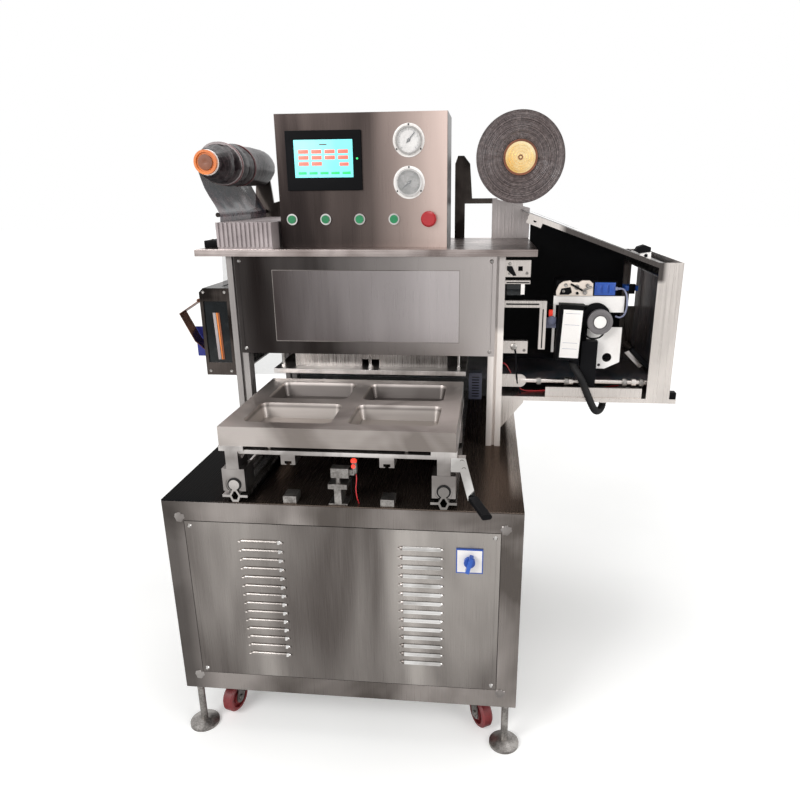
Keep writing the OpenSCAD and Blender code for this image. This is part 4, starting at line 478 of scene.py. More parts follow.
def round_by_angle(limit):
    """A node group that shades smooth, and keeps edges sharper than the limit."""
    group = bpy.data.node_groups.new("round_by_angle", "GeometryNodeTree")
    group.interface.new_socket("Mesh", in_out="INPUT", socket_type="NodeSocketGeometry")
    group.interface.new_socket("Mesh", in_out="OUTPUT", socket_type="NodeSocketGeometry")
    start, end = group.nodes.new("NodeGroupInput"), group.nodes.new("NodeGroupOutput")
    angle = group.nodes.new("GeometryNodeInputMeshEdgeAngle")
    flat = add(group, "FunctionNodeCompare", {0: angle.outputs[0], 1: limit},
               data_type="FLOAT", operation="LESS_EQUAL")
    edges = add(group, "GeometryNodeSetShadeSmooth", {0: start.outputs[0]}, domain="EDGE")
    group.links.new(flat.outputs[0], edges.inputs["Shade Smooth"])
    faces = add(group, "GeometryNodeSetShadeSmooth", {0: edges.outputs[0]}, domain="FACE")
    faces.inputs["Shade Smooth"].default_value = True
    group.links.new(faces.outputs[0], end.inputs[0])
    return group


ROUND_BELOW, BROKEN_ABOVE = 32, 50
smoothing = round_by_angle(math.radians(ROUND_BELOW))


def break_edges(piece, width):
    """Breaks a piece's sharp edges by a width in millimetres."""
    broken = piece.modifiers.new("broken_edges", "BEVEL")
    broken.width = width / 1000
    broken.segments = 2
    broken.limit_method = "ANGLE"
    broken.angle_limit = math.radians(BROKEN_ABOVE)


print("smooth below", ROUND_BELOW, "degrees, broken above", BROKEN_ABOVE, "degrees")

# %% Break the edges of the CAD nodes
WELD_WITHIN, FLAT_WITHIN = 0.00001, 0.5
EDGES = {"base_frame": 2.0, "table_top": 1.2, "front_panel": 0.5, "cabinet_panels": 0.5,
         "uprights": 1.2, "hood_panel": 0.4, "top_shelf": 0.8, "control_box": 1.6,
         "mould": 0.8, "carriage_frame": 0.7, "bearing_blocks": 0.8, "film_frame": 0.7,
         "hmi_panel": 1.6, "wing_frame": 0.5, "head_bridge": 0.8, "heater_blocks": 0.8,
         "roll_brackets": 0.5, "pull_frame": 0.4, "isolator_plate": 0.6,
         "isolator_knob": 0.8, "caster_mounts": 0.8, "coder_body": 0.5,
         "coder_plate": 0.4, "table_stops": 0.5, "pull_handle": 0.8}
for name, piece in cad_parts.items():
    weld = piece.modifiers.new("weld", "WELD")
    weld.merge_threshold = WELD_WITHIN
    if name == "control_box":
        whole = piece.modifiers.new("whole_faces", "DECIMATE")
        whole.decimate_type = "DISSOLVE"
        whole.angle_limit = math.radians(FLAT_WITHIN)
    if name in EDGES:
        break_edges(piece, EDGES[name])
    piece.modifiers.new("rounding", "NODES").node_group = smoothing
    flat = piece.modifiers.new("flat_faces", "WEIGHTED_NORMAL")
    flat.keep_sharp = True
    flat.weight = 100
print("edges broken on", len(EDGES), "nodes")

# %% [markdown]
# ## A small workshop for added forms
# Bolts, labels, seals and collars are small forms of a few kinds. Blender's own
# primitives could be added and scaled one by one, but each would be an object to
# place and join. Here every form comes from one of three moves: a block between two
# limits on each axis, a profile turned about an axis, and an outline cut from plate.
# They all add to one mesh, in the drawing's millimetres, so a piece with many details
# stays one object.

# %% Helpers for blocks and plates


def block(mesh, x0, x1, y0, y1, z0, z1, look=0):
    """A block between two limits on each axis."""
    ends = [mesh.verts.new(place(x, y, z)) for x in (x0, x1) for y in (y0, y1)
            for z in (z0, z1)]
    for side in ((0, 1, 3, 2), (4, 6, 7, 5), (0, 4, 5, 1), (2, 3, 7, 6), (0, 2, 6, 4),
                 (1, 5, 7, 3)):
        mesh.faces.new([ends[i] for i in side]).material_index = look


def cut_plate(mesh, outline, y0, y1, look=0):
    """A plate with an outline of (x, z) points, between two depths."""
    front = [mesh.verts.new(place(x, y0, z)) for x, z in outline]
    back = [mesh.verts.new(place(x, y1, z)) for x, z in outline]
    mesh.faces.new(front).material_index = look
    mesh.faces.new(back[::-1]).material_index = look
    for k in range(len(outline)):
        n = (k + 1) % len(outline)
        mesh.faces.new((front[k], back[k], back[n], front[n])).material_index = look


print("blocks and plates come from", block.__name__, cut_plate.__name__)

# %% Helpers for turned forms and rods


def turned(mesh, at, along, profile, look=0, sides=48, uneven=None):
    """A profile of (distance along, radius), turned about an axis through a point."""
    axis = Vector(along).normalized()
    side = axis.orthogonal().normalized()
    other = axis.cross(side)
    rings = []
    for row, (reach, radius) in enumerate(profile):
        centre = Vector(at) + axis * reach
        if radius == 0:
            rings.append([mesh.verts.new(place(*centre))])
            continue
        ring = []
        for k in range(sides):
            angle = 2 * math.pi * k / sides
            r, push = uneven(row, angle, reach, radius) if uneven else (radius, 0)
            spot = centre + axis * push + (side * math.cos(angle) + other * math.sin(angle)) * r
            ring.append(mesh.verts.new(place(*spot)))
        rings.append(ring)
    for low, high in zip(rings, rings[1:]):
        for k in range(sides):
            pick = [low[k % len(low)], low[(k + 1) % len(low)], high[(k + 1) % len(high)],
                    high[k % len(high)]]
            corners = list(dict.fromkeys(pick))
            if len(corners) > 2:
                mesh.faces.new(corners).material_index = look


def rod(mesh, start, end, radius, look=0, sides=20):
    """A round rod between two points."""
    run = Vector(end) - Vector(start)
    turned(mesh, start, run, [(0, 0), (0, radius), (run.length, radius), (run.length, 0)],
           look, sides)


print("turned forms come from", turned.__name__, rod.__name__)

# %% [markdown]
# ## From a mesh to a piece
# On the machine, each added part is fixed to something that may move: the cap turns
# with its roll, and the seals ride on the carriage. The parts could be parented by
# hand, but one helper that closes a mesh is safer. It turns the faces outwards, sets
# the finishes, breaks the edges and puts the piece on its body.

# %% A helper that closes a piece


def close_piece(name, mesh, body, looks, slot, edge=0.3, closed=True):
    """Turns the mesh into a named piece with its finishes, on its body."""
    if closed:
        bmesh.ops.recalc_face_normals(mesh, faces=mesh.faces)
    data = bpy.data.meshes.new(name)
    mesh.to_mesh(data)
    mesh.free()
    piece = bpy.data.objects.new(name, data)
    bpy.context.scene.collection.objects.link(piece)
    for look in looks:
        data.materials.append(look)
    if edge:
        break_edges(piece, edge)
    piece.modifiers.new("rounding", "NODES").node_group = smoothing
    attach(piece, body)
    print(name, "has", len(data.polygons), "faces")
    return piece


print("pieces are closed by", close_piece.__name__)

# %% [markdown]
# ## Tubes and leads
# Hoses and wires are round, and bend softly from one exit to another. A curve object
# with a thickness could draw them, but its length and its wall are hard to read back.
# So a ring is swept along a smooth line through a few points. The helper gives the
# line back.

# %% Helpers for tubes and leads


def tube(mesh, points, radius, look=0, sides=10, steps=6, rib=0.0):
    """A round tube that bends smoothly through its points; gives its middle line."""
    spots = [Vector(point) for point in points]
    line = []
    for k in range(len(spots) - 1):
        a, b, c, d = (spots[max(k - 1, 0)], spots[k], spots[k + 1],
                      spots[min(k + 2, len(spots) - 1)])
        for step in range(steps):
            t = step / steps
            line.append(0.5 * (2 * b + (c - a) * t + (2 * a - 5 * b + 4 * c - d) * t * t
                               + (3 * b - a - 3 * c + d) * t ** 3))
    line.append(spots[-1])
    side = (line[1] - line[0]).orthogonal()
    rings = []
    for k, spot in enumerate(line):
        along = (line[min(k + 1, len(line) - 1)] - line[max(k - 1, 0)]).normalized()
        side = (side - along * side.dot(along)).normalized()
        other = along.cross(side)
        ring = []
        for turn_at in range(sides):
            angle = 2 * math.pi * turn_at / sides
            out = side * math.cos(angle) + other * math.sin(angle)
            ring.append(mesh.verts.new(place(*(spot + out * (radius - rib * (k % 2))))))
        rings.append(ring)
    for low, high in zip(rings, rings[1:]):
        for k in range(sides):
            n = (k + 1) % sides
            mesh.faces.new((low[k], low[n], high[n], high[k])).material_index = look
    mesh.faces.new(rings[0][::-1]).material_index = look
    mesh.faces.new(rings[-1]).material_index = look
    return [place(*spot) for spot in line]


def lead(name, points, diameter, finish, slot, stiffness="limp", lay="loose", steps=6, rib=0.0):
    """A free cord from one exit of the machine to another."""
    mesh = bmesh.new()
    middle = tube(mesh, points, diameter / 2, 0, 12, steps, rib)
    piece = close_piece(name, mesh, "machine", [finish], slot, 0)
    return piece


print("leads are drawn by", lead.__name__, "with", tube.__name__)

# %% [markdown]
# ## The touch screen
# The panel has a lit screen set back behind its bezel, with rows of touch keys and a
# green power lamp. The keys could be a picture on the glass, but a picture blurs close
# by. So they are thin raised tiles on a lit plate: four, four and three red ones, and a
# row of five green ones. They carry no words.

# %% Touch screen
SCREEN_X0, SCREEN_X1, SCREEN_Z0, SCREEN_Z1, SCREEN_Y = -180.6, -25.4, 1391.4, 1483.6, 462.9
KEY_WIDE, KEY_HIGH, KEY_PITCH, KEY_Y = 27, 9.5, 35, SCREEN_Y - 0.4
SMALL_KEY, SMALL_PITCH = 22, 29.3
mesh = bmesh.new()
block(mesh, SCREEN_X0, SCREEN_X1, SCREEN_Y, 463.6, SCREEN_Z0, SCREEN_Z1, 0)
for level_z, columns in ((1450, 4), (1435.5, 4), (1420.5, 2)):
    for column in range(columns):
        x = SCREEN_X0 + 11 + column * KEY_PITCH
        block(mesh, x, x + KEY_WIDE, KEY_Y, SCREEN_Y, level_z, level_z + KEY_HIGH, 1)
block(mesh, -61, -37, KEY_Y, SCREEN_Y, 1419.5, 1428, 1)
for column in range(5):
    x = SCREEN_X0 + 9 + column * SMALL_PITCH
    block(mesh, x, x + SMALL_KEY, KEY_Y, SCREEN_Y, 1399, 1405.5, 2)
block(mesh, -113, -93, SCREEN_Y - 0.3, SCREEN_Y, 1470, 1473.5, 3)
turned(mesh, (-14, 461.9, 1437), (0, -1, 0), [(0, 0), (0, 3), (0.8, 2.6), (1.2, 0)], 2, 20)
close_piece("touch_screen", mesh, "machine", [screen_cyan, key_red, key_green, grey_plastic],
            "green_plastic", 0.15)

# %% [markdown]
# ## The gauges
# Each gauge has a flange with three dark notches, a dial with a scale of fine ticks,
# and a domed glass. The scale could be painted on, but ticks cut from thin plate stay
# sharp close by and go along in an export. The needles are nodes of the frame that
# turn, so the dials stay behind them and the glass in front.

# %% Gauge dials
GAUGE_X, GAUGE_LEVELS = 120, {"upper": 1479, "lower": 1377}
DIAL_R, TICKS_OUT, TICKS, DIAL_TURN, DIAL_START = 29.6, 27.5, 40, 270, 225
for name, z in GAUGE_LEVELS.items():
    mesh = bmesh.new()
    turned(mesh, (GAUGE_X, 465.8, z), (0, -1, 0),
           [(0, 0), (0, DIAL_R), (0.5, DIAL_R), (0.5, 0)], 0)
    for tick in range(TICKS + 1):
        angle = math.radians(DIAL_START - tick * DIAL_TURN / TICKS)
        long, half = (4.5, 0.45) if tick % 5 == 0 else (2.4, 0.25)
        c, n = math.cos(angle), math.sin(angle)
        outline = [(GAUGE_X + r * c - side * half * n, z + r * n + side * half * c)
                   for r, side in ((TICKS_OUT, 1), (TICKS_OUT, -1), (TICKS_OUT - long, -1),
                                   (TICKS_OUT - long, 1))]
        cut_plate(mesh, outline, 465.1, 465.3, 1)
    close_piece(f"gauge_dial_{name}", mesh, "machine",
                [white_paint if name == "upper" else zinc, black_plastic], "white_paint", 0)

# %% Gauge glasses and rings
NOTCH_R, NOTCH_ANGLES = 37.6, (90, 214, 326)
for name, z in GAUGE_LEVELS.items():
    mesh = bmesh.new()
    dome = [(0, 0), (0, 29.5), (0.8, 29.5), (1.6, 24), (2.2, 14), (2.4, 0)]
    turned(mesh, (GAUGE_X, 460.4, z), (0, -1, 0), dome, 0)
    close_piece(f"gauge_glass_{name}", mesh, "machine", [glass], "white_paint", 0)
    mesh = bmesh.new()
    ring = [(0, 34.2), (0, 40.6), (0.8, 40.6), (1.4, 39.6), (1.6, 36), (1.2, 34.2), (0, 34.2)]
    turned(mesh, (GAUGE_X, 467.0, z), (0, -1, 0), ring, 0, 72)
    for degrees in NOTCH_ANGLES:
        x = GAUGE_X + NOTCH_R * math.cos(math.radians(degrees))
        notch_z = z + NOTCH_R * math.sin(math.radians(degrees))
        rod(mesh, (x, 466.4, notch_z), (x, 465.0, notch_z), 2.2, 1, 16)
    close_piece(f"gauge_ring_{name}", mesh, "machine", [white_paint, black_plastic],
                "chrome", 0)

# %% [markdown]
# ## The plate on the hood
# A thin plate with a fine border is stuck on the hood. It is left blank. The border
# could be painted, but a printed sheet that was laminated has a raised edge, which
# catches the light. So it is four thin strips that stand a little proud of the plate.

# %% Hood plate
PLATE_X0, PLATE_X1, PLATE_Z0, PLATE_Z1, BORDER = -250, 257, 964, 1158, 1.6
# The plate's tones run from dark on the left to bright on the right: a painted reflection.
hood_sheet = metal("hood_sheet", tint(70, 63, 62), tint(222, 214, 214), UPRIGHT_LINES, 700,
                   5.0, (0.27, 0.31), 0.006, share=0.97, painted_reflection_streak=UPRIGHT_PAINTED_REFLECTION,
                   painted_light_sweep=(-190, 300, 0.85))
mesh = bmesh.new()
block(mesh, PLATE_X0, PLATE_X1, 418.0, 418.5, PLATE_Z0, PLATE_Z1, 0)
for x0, x1, z0, z1 in ((PLATE_X0, PLATE_X1, PLATE_Z0, PLATE_Z0 + BORDER),
                       (PLATE_X0, PLATE_X1, PLATE_Z1 - BORDER, PLATE_Z1),
                       (PLATE_X0, PLATE_X0 + BORDER, PLATE_Z0 + BORDER, PLATE_Z1 - BORDER),
                       (PLATE_X1 - BORDER, PLATE_X1, PLATE_Z0 + BORDER, PLATE_Z1 - BORDER)):
    block(mesh, x0, x1, 417.8, 418.02, z0, z1, 1)
close_piece("hood_plate", mesh, "machine", [hood_sheet, frame_steel], "frame_steel", 0)

# %% [markdown]
# ## The louvres
# A louvre is pressed out of the sheet, so it has a soft hood with round ends. Chrome on
# the right end of every louvre, and on the middle of those in the right-hand row, is a
# painted reflection of a bright light; the left ends of that row wear frame steel. The
# hoods could be sculpted one by one, but all twenty-eight are alike. So one skin is
# computed, a quarter of a round that shrinks towards both ends, and laid over each
# louvre of the drawing.

# %% Louvre skins
LOUVRES, LOUVRE_Z, LOUVRE_PITCH, LOUVRE_X = 14, 250, 24.3, 190.5
STATIONS = (-54, -53, -50, -46, -42, -38, 0, 38, 42, 46, 50, 53, 54)
STRAIGHT, END_LONG, SKIN_OUT, SKIN_UP = 42, 12.2, 5.3, 8.6
mesh = bmesh.new()
# Chrome on the right ends, and along the right-hand row, is a painted reflection.
for side, looks in ((-1, (0, 0, 1)), (1, (2, 1, 1))):
    for k in range(LOUVRES):
        rows = []
        for reach in STATIONS:
            ended = max(abs(reach) - STRAIGHT, 0) / END_LONG
            swell = math.sqrt(max(1 - ended ** 2, 0.01))
            rows.append([mesh.verts.new(place(
                side * LOUVRE_X + reach, -0.15 - SKIN_OUT * swell * math.cos(turn),
                LOUVRE_Z + 0.2 + k * LOUVRE_PITCH + SKIN_UP * swell * math.sin(turn)))
                for turn in [math.radians(15 * step) for step in range(7)]])
        for j, (low, high) in enumerate(zip(rows, rows[1:])):
            for step in range(6):
                skin = mesh.faces.new((low[step], high[step], high[step + 1], low[step + 1]))
                skin.material_index = looks[0 if j < 4 else 1 if j < 8 else 2]
close_piece("louvre_skins", mesh, "machine", [panel_steel, chrome, frame_steel],
            "panel_steel", 0, closed=False)

# %% [markdown]
# ## Weld beads and the switch's rim
# The frame's corners show ground weld beads, and a thin blue rim runs round the switch
# plate. A bump in the finish could stand for the welds, but it would leave their edge
# flat. So each is a low turned form with an uneven edge, and the rim is four strips.

# %% Weld beads and the rim
BEAD_X, BEAD_LEVELS = 385, (176, 626)
RIM_X0, RIM_X1, RIM_Z0, RIM_Z1, RIM = 273, 335, 513, 575, 2.4


def bead(row, angle, reach, radius):
    """The uneven edge of a ground weld bead."""
    spot = Vector((math.cos(angle) * 2, math.sin(angle) * 2, reach + radius * 0.1))
    return radius * (1 + 0.3 * noise.noise(spot)), 0


mesh = bmesh.new()
for x in (-BEAD_X, BEAD_X):
    for z in BEAD_LEVELS:
        turned(mesh, (x, 0.1, z), (0, -1, 0), [(0, 0), (0, 12), (1.2, 10.5), (2.2, 6), (2.5, 0)],
               0, 28, bead)
for x0, x1, z0, z1 in ((RIM_X0, RIM_X0 + RIM, RIM_Z0, RIM_Z1),
                       (RIM_X1 - RIM, RIM_X1, RIM_Z0, RIM_Z1),
                       (RIM_X0 + RIM, RIM_X1 - RIM, RIM_Z0, RIM_Z0 + RIM),
                       (RIM_X0 + RIM, RIM_X1 - RIM, RIM_Z1 - RIM, RIM_Z1)):
    block(mesh, x0, x1, -4.3, -0.2, z0, z1, 1)
close_piece("beads_and_rim", mesh, "machine", [cast_alu, blue_plastic], "frame_steel", 0)

# %% [markdown]
# ## The finish of the supply roll
# The supply roll is hundreds of turns of film on a card core, so its end shows fine
# rings in changing greys. A picture of rings could be put on it, but it would have to
# sit exactly on the axle. Here the grey is a noise of one number, the distance from
# the axle, so its rings are round and centred by themselves.

# %% Wound film
SUPPLY_X, SUPPLY_Z = 403, 1433
rings_grey, tree, shader, coords = new_finish("wound_film")
centred = add(tree, "ShaderNodeVectorMath", {0: coords, 1: place(SUPPLY_X, MID_Y, SUPPLY_Z)},
              operation="SUBTRACT")
flat_on = add(tree, "ShaderNodeVectorMath", {0: centred.outputs[0], 1: (1, 0, 1)},
              operation="MULTIPLY")
radius_at = add(tree, "ShaderNodeVectorMath", {0: flat_on.outputs[0]}, operation="LENGTH")
ring_noise = add(tree, "ShaderNodeTexNoise", {"W": radius_at.outputs["Value"], "Scale": 380.0,
                                              "Detail": 3.0}, noise_dimensions="1D")
creases = noise_of(tree, coords, 130, (1, 1, 1), 4.0, 0.8)
mixed = blend_of(tree, ring_noise.outputs["Fac"], creases, 0.45)
tones = [(0.36, tint(50, 42, 42)), (0.5, tint(82, 71, 70)), (0.66, tint(128, 116, 114))]
tree.links.new(ramp_of(tree, mixed, tones), shader.inputs["Base Color"])
relief = add(tree, "ShaderNodeBump", {"Height": mixed, "Strength": 0.5, "Distance": 0.0015})
tree.links.new(relief.outputs[0], shader.inputs["Normal"])
shader.inputs["Roughness"].default_value = 0.38
shader.inputs["Coat Weight"].default_value = 0.2
print(rings_grey.name, "has its rings round", SUPPLY_X, SUPPLY_Z)

# %% [markdown]
# ## The supply roll
# The turns of a real roll don't line up at its end, and fine creases run outwards. A
# flat disc with a bump would look right from the front alone. So the end is turned
# from a profile of many small steps, and each step is pushed in or out by noise. The
# core is a card tube, and its chuck has four ridges and a screw head.

# %% Supply roll
CORE_R, ROLL_R, FRONT_STEPS, BACK_STEPS = 42, 110, 40, 24


def ring_step(row, angle, reach, radius):
    """Pushes a ring of the roll's end in or out, with creases that run outwards."""
    spot = Vector((math.cos(angle) * 2.4, math.sin(angle) * 2.4, radius * 0.09))
    crease = noise.noise(Vector((math.cos(angle) * 9, math.sin(angle) * 9, radius * 0.02)))
    swell = noise.noise(Vector((math.cos(angle), math.sin(angle), 4.0)))
    return radius * (1 + 0.004 * swell - 0.004), noise.noise(spot) * 1.6 + crease * 1.0


mesh = bmesh.new()
wall = ROLL_R - CORE_R
front = [(2.8 if k % 2 else 1.6, CORE_R + k * wall / FRONT_STEPS)
         for k in range(FRONT_STEPS + 1)]
back = [(447.2 if k % 2 else 448.4, ROLL_R - k * wall / BACK_STEPS)
        for k in range(BACK_STEPS + 1)]
round_side = [(3.4, 109.6), (40, 109.9), (150, 109.5), (300, 109.9), (420, 109.6)]
turned(mesh, (SUPPLY_X, 430, SUPPLY_Z), (0, 1, 0), front + round_side + back, 0, 144,
       ring_step)
supply_roll = close_piece("supply_roll_film", mesh, "supply_roll", [rings_grey],
                          "film_roll", 0, closed=False)
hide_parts("supply_film")

# %% Core and chuck of the supply roll
RIDGES = (29, 22, 15, 8)
mesh = bmesh.new()
turned(mesh, (SUPPLY_X, 429, SUPPLY_Z), (0, 1, 0),
       [(0, 37.2), (0, CORE_R), (3, CORE_R), (3, 37.2), (0, 37.2)], 0, 72)
for r in RIDGES:
    turned(mesh, (SUPPLY_X, 423, SUPPLY_Z), (0, -1, 0),
           [(0, r - 1.6), (0.7, r - 1.1), (0.7, r - 0.4), (0, r)], 1, 60)
turned(mesh, (SUPPLY_X, 423, SUPPLY_Z), (0, -1, 0),
       [(0, 6), (0.6, 5.4), (0.6, 3.2), (0, 3)], 2, 30)
close_piece("supply_roll_core", mesh, "supply_roll", [card_brown, gold, brown_plastic],
            "gold_anodised", 0)

# %% [markdown]
# ## The finish of the used film
# The film that is left after sealing winds up dark and crumpled, and light glints on its
# folds. Its wrinkles could be simulated as cloth, but most would be hidden in the wound
# layers. Two noises are enough: a slow one for the folds and a fine one that paints the
# glints into the colour as painted highlights.

# %% Used film
wraps_dark, tree, shader, coords = new_finish("used_film")
folds = noise_of(tree, coords, 26, (1, 2.6, 1), 4.0, 1.6)
# The fine noise paints glints into the colour: painted highlights.
painted_glints = noise_of(tree, coords, 120, (1, 0.4, 1), 3.0, 0.5)
mixed = blend_of(tree, folds, painted_glints, 0.35)
tones = [(0.36, tint(8, 8, 12)), (0.52, tint(38, 30, 32)), (0.62, tint(66, 56, 58)),
         (0.74, tint(112, 102, 102))]
tree.links.new(ramp_of(tree, mixed, tones), shader.inputs["Base Color"])
relief = add(tree, "ShaderNodeBump", {"Height": mixed, "Strength": 0.6, "Distance": 0.003})
tree.links.new(relief.outputs[0], shader.inputs["Normal"])
shader.inputs["Roughness"].default_value = 0.32
shader.inputs["Coat Weight"].default_value = 0.1
shader.inputs["Specular IOR Level"].default_value = 0.3
print(wraps_dark.name, "has", len(tones), "tones")

# %% [markdown]
# ## The take-up roll
# The used film winds on loosely, so its roll is lumpy, with slanting folds and a few
# coloured bands. It could be sculpted by hand, but a turned profile with noise is
# quick to change, and its radius can be held inside the room that the drawing gives
# it. The bands are narrow rings that are pushed along the axis, so they slant.

# %% Take-up roll
TAKE_UP_X, TAKE_UP_Z, WOUND_Y, WOUND_R = -406, 1431, 440, 58.0


def loose_wrap(row, angle, reach, radius):
    """Lumps and slanting folds of loosely wound film."""
    slant = noise.noise(Vector((math.cos(angle + reach * 0.012) * 1.6,
                                math.sin(angle + reach * 0.012) * 1.6, reach * 0.018)))
    fold = noise.noise(Vector((math.cos(angle) * 5, math.sin(angle) * 5, reach * 0.06)))
    return min(radius + slant * 4 + fold * 1.6, WOUND_R), 0


def slanting(row, angle, reach, radius):
    """A band that runs round the roll at a slant."""
    return radius, 16 * math.sin(angle)


mesh = bmesh.new()
wound = [(0, 26), (2, 33), (8, 36), (20, 39), (34, 43), (50, 47), (66, 49), (72, 46.5),
         (80, 51), (100, 54), (112, 50.5), (120, 54.5), (150, 56), (168, 53), (176, 56),
         (220, 56.5), (262, 54.5), (300, 56.5), (350, 56), (400, 54), (430, 47), (440, 26)]
turned(mesh, (TAKE_UP_X, WOUND_Y, TAKE_UP_Z), (0, 1, 0), wound, 0, 96, loose_wrap)
for start, r, wide, look in ((84, 55.6, 9, 2), (93, 56.3, 6, 1), (100, 56.0, 5, 2),
                             (196, 57.6, 8, 1), (206, 57.4, 4, 2)):
    ribbon = [(start, r - 6), (start + 0.6, r), (start + wide - 0.6, r), (start + wide, r - 6)]
    turned(mesh, (TAKE_UP_X, WOUND_Y, TAKE_UP_Z), (0, 1, 0), ribbon, look, 96, slanting)
take_up = close_piece("take_up_wraps", mesh, "take_up_roll",
                      [wraps_dark, red_polymer, grille_grey], "film_roll", 0, closed=False)
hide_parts("scrap_film")

# %% Cap and collar of the take-up roll
mesh = bmesh.new()
turned(mesh, (TAKE_UP_X, 421.2, TAKE_UP_Z), (0, -1, 0),
       [(0, 0), (0, 19.5), (0.6, 19), (1.0, 12), (0.7, 4), (0.2, 0)], 0, 60)
turned(mesh, (TAKE_UP_X, 434, TAKE_UP_Z), (0, 1, 0),
       [(0, 24.2), (0, 31), (1.5, 32), (3, 31), (3, 24.2), (0, 24.2)], 1, 60)
close_piece("take_up_cap", mesh, "take_up_roll", [brown_plastic, white_paint],
            "orange_plastic", 0)

# %% [markdown]
# ## The lidding film
# One clear web of film runs from the supply roll down the wing's cover, round the
# turning roller, flat through the head over the mould, round the draw roller and up to
# the take-up roll. Its path could be traced by eye, but then its length would be a
# guess. It is worked out as a belt's path is: arcs on the rollers, and straight runs
# that touch both of their ends.

# %% The film's path
SLOPE, FILM_OFF, ARC_STEPS, RUN_STEP = 20.23, 0.45, 14, 22
COVER_BEND, TURN_ROLLER, DRAW_ROLLER = (782, 1153.8, 20), (790, 867.9, 12), (-388, 885.9, 30)
GUIDE_BAR, TAKE_UP = (-402, 1299, 6), (TAKE_UP_X, TAKE_UP_Z, WOUND_R)


def arc_of(roller, start, end):
    """Points of the film on a roller, in degrees from +X towards +Z."""
    x, z, r = roller
    turns = [math.radians(start + (end - start) * k / ARC_STEPS) for k in range(ARC_STEPS + 1)]
    return [(x + (r + FILM_OFF) * math.cos(turn), z + (r + FILM_OFF) * math.sin(turn))
            for turn in turns]


def wrap_angle(roller, following, side):
    """The angle where the film leaves a roller and crosses over to the far side of the
    following one; side is 1 or -1, the way that it turns."""
    x0, z0, r0 = roller
    x1, z1, r1 = following
    run = math.hypot(x1 - x0, z1 - z0)
    reach = side * (r0 + r1 + 2 * FILM_OFF)
    return math.degrees(math.atan2(z1 - z0, x1 - x0) + math.acos(reach / run))


rise = wrap_angle(DRAW_ROLLER, GUIDE_BAR, 1)
wind = wrap_angle(GUIDE_BAR, TAKE_UP, -1)
leave = 270 - SLOPE
corners = [arc_of((SUPPLY_X, SUPPLY_Z, ROLL_R), leave - 50, leave),
           arc_of(COVER_BEND, 90 - SLOPE, 0), arc_of(TURN_ROLLER, 0, -90),
           arc_of(DRAW_ROLLER, 270, rise), arc_of(GUIDE_BAR, rise + 180, wind + 180),
           arc_of(TAKE_UP, wind, wind - 50)]
path = []
for bend in corners:
    if path:
        (xa, za), (xb, zb) = path[-1], bend[0]
        spans = max(2, int(math.hypot(xb - xa, zb - za) / RUN_STEP))
        path += [(xa + (xb - xa) * k / spans, za + (zb - za) * k / spans)
                 for k in range(1, spans)]
    path += bend

# %% [markdown]
# ## The lidding film's sheet
# A real web is flat where it is pulled and creased where it is slack. A cloth
# simulation could show that, but a stretched web hardly moves, and the result would
# have to be frozen. So a strip is drawn along the path, and noise lifts it a little
# everywhere and a lot in the last stretch, where the cut film is limp. Its end hugs
# the lumpy take-up roll.

# %% Where the film is slack
LEFT_SIDE, SLACK_LOW, SLACK_HIGH, MOST_SLACK = -380, 1310, 1400, 7.0


def wound_radius(y):
    """Radius of the lumpy roll at a depth."""
    for (low, r0), (high, r1) in zip(wound, wound[1:]):
        if low <= y - WOUND_Y <= high:
            share = (y - WOUND_Y - low) / (high - low)
            return min(r0 + (r1 - r0) * share + 1.6, WOUND_R)
    return WOUND_R


def slack_at(x, z):
    """How far the film may stand off its path, in millimetres."""
    if x < LEFT_SIDE and SLACK_LOW < z < SLACK_HIGH:
        return MOST_SLACK * math.sin(math.pi * (z - SLACK_LOW) / (SLACK_HIGH - SLACK_LOW))
    return 0.8 if x > 460 and z > 1170 else 0.15


print("the roll's radius under the film, in front:", wound_radius(462), "mm")

# %% The film's sheet
WEB_Y0, WEB_Y1, WEB_COLUMNS = 462, 858, 36
LIMP_ABOVE, HUG_FROM, HUG_RISE = 1236, 1306, 110
mesh = bmesh.new()
rows, limp_from = [], 0
for k, (x, z) in enumerate(path):
    before, after = path[max(k - 1, 0)], path[min(k + 1, len(path) - 1)]
    run = Vector((after[0] - before[0], 0, after[1] - before[1])).normalized()
    normal = Vector((-run.z, 0, run.x))
    hang = min(max((z - HUG_FROM) / HUG_RISE, 0), 1) if x < LEFT_SIDE else 0
    inward = Vector((TAKE_UP_X - x, 0, TAKE_UP_Z - z)).normalized()
    limp_from = limp_from or (k if x < LEFT_SIDE and z > LIMP_ABOVE else 0)
    row = []
    for j in range(WEB_COLUMNS + 1):
        y = WEB_Y0 + (WEB_Y1 - WEB_Y0) * j / WEB_COLUMNS
        wave = noise.noise(Vector((x * 0.02, y * 0.025, z * 0.02))) * slack_at(x, z)
        inset = inward * hang * (WOUND_R - wound_radius(y))
        row.append(mesh.verts.new(place(x + normal.x * wave + inset.x, y,
                                        z + normal.z * wave + inset.z)))
    rows.append(row)
for k, (low, high) in enumerate(zip(rows, rows[1:])):
    for j in range(WEB_COLUMNS):
        strip = mesh.faces.new((low[j], low[j + 1], high[j + 1], high[j]))
        strip.material_index = 1 if k >= limp_from else 0
web = close_piece("lidding_film", mesh, "machine", [clear_film, limp_film], "film_clear", 0,
                  False)
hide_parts("film_web")

# %% [markdown]
# ## The date coder's case
# The date coder prints on the film. Its black case hangs a little out of plumb, with a
# white label on its front and a thin hood round its top and side. The label could be
# drawn level and then turned, but a small function that gives points of the leaning
# case keeps label, bars and hood together.

# %% Coder label and hood
LEAN, CASE_CORNER, LABEL_BARS = math.radians(2.5), (524, 1068), (-18, -48, -96, -112)


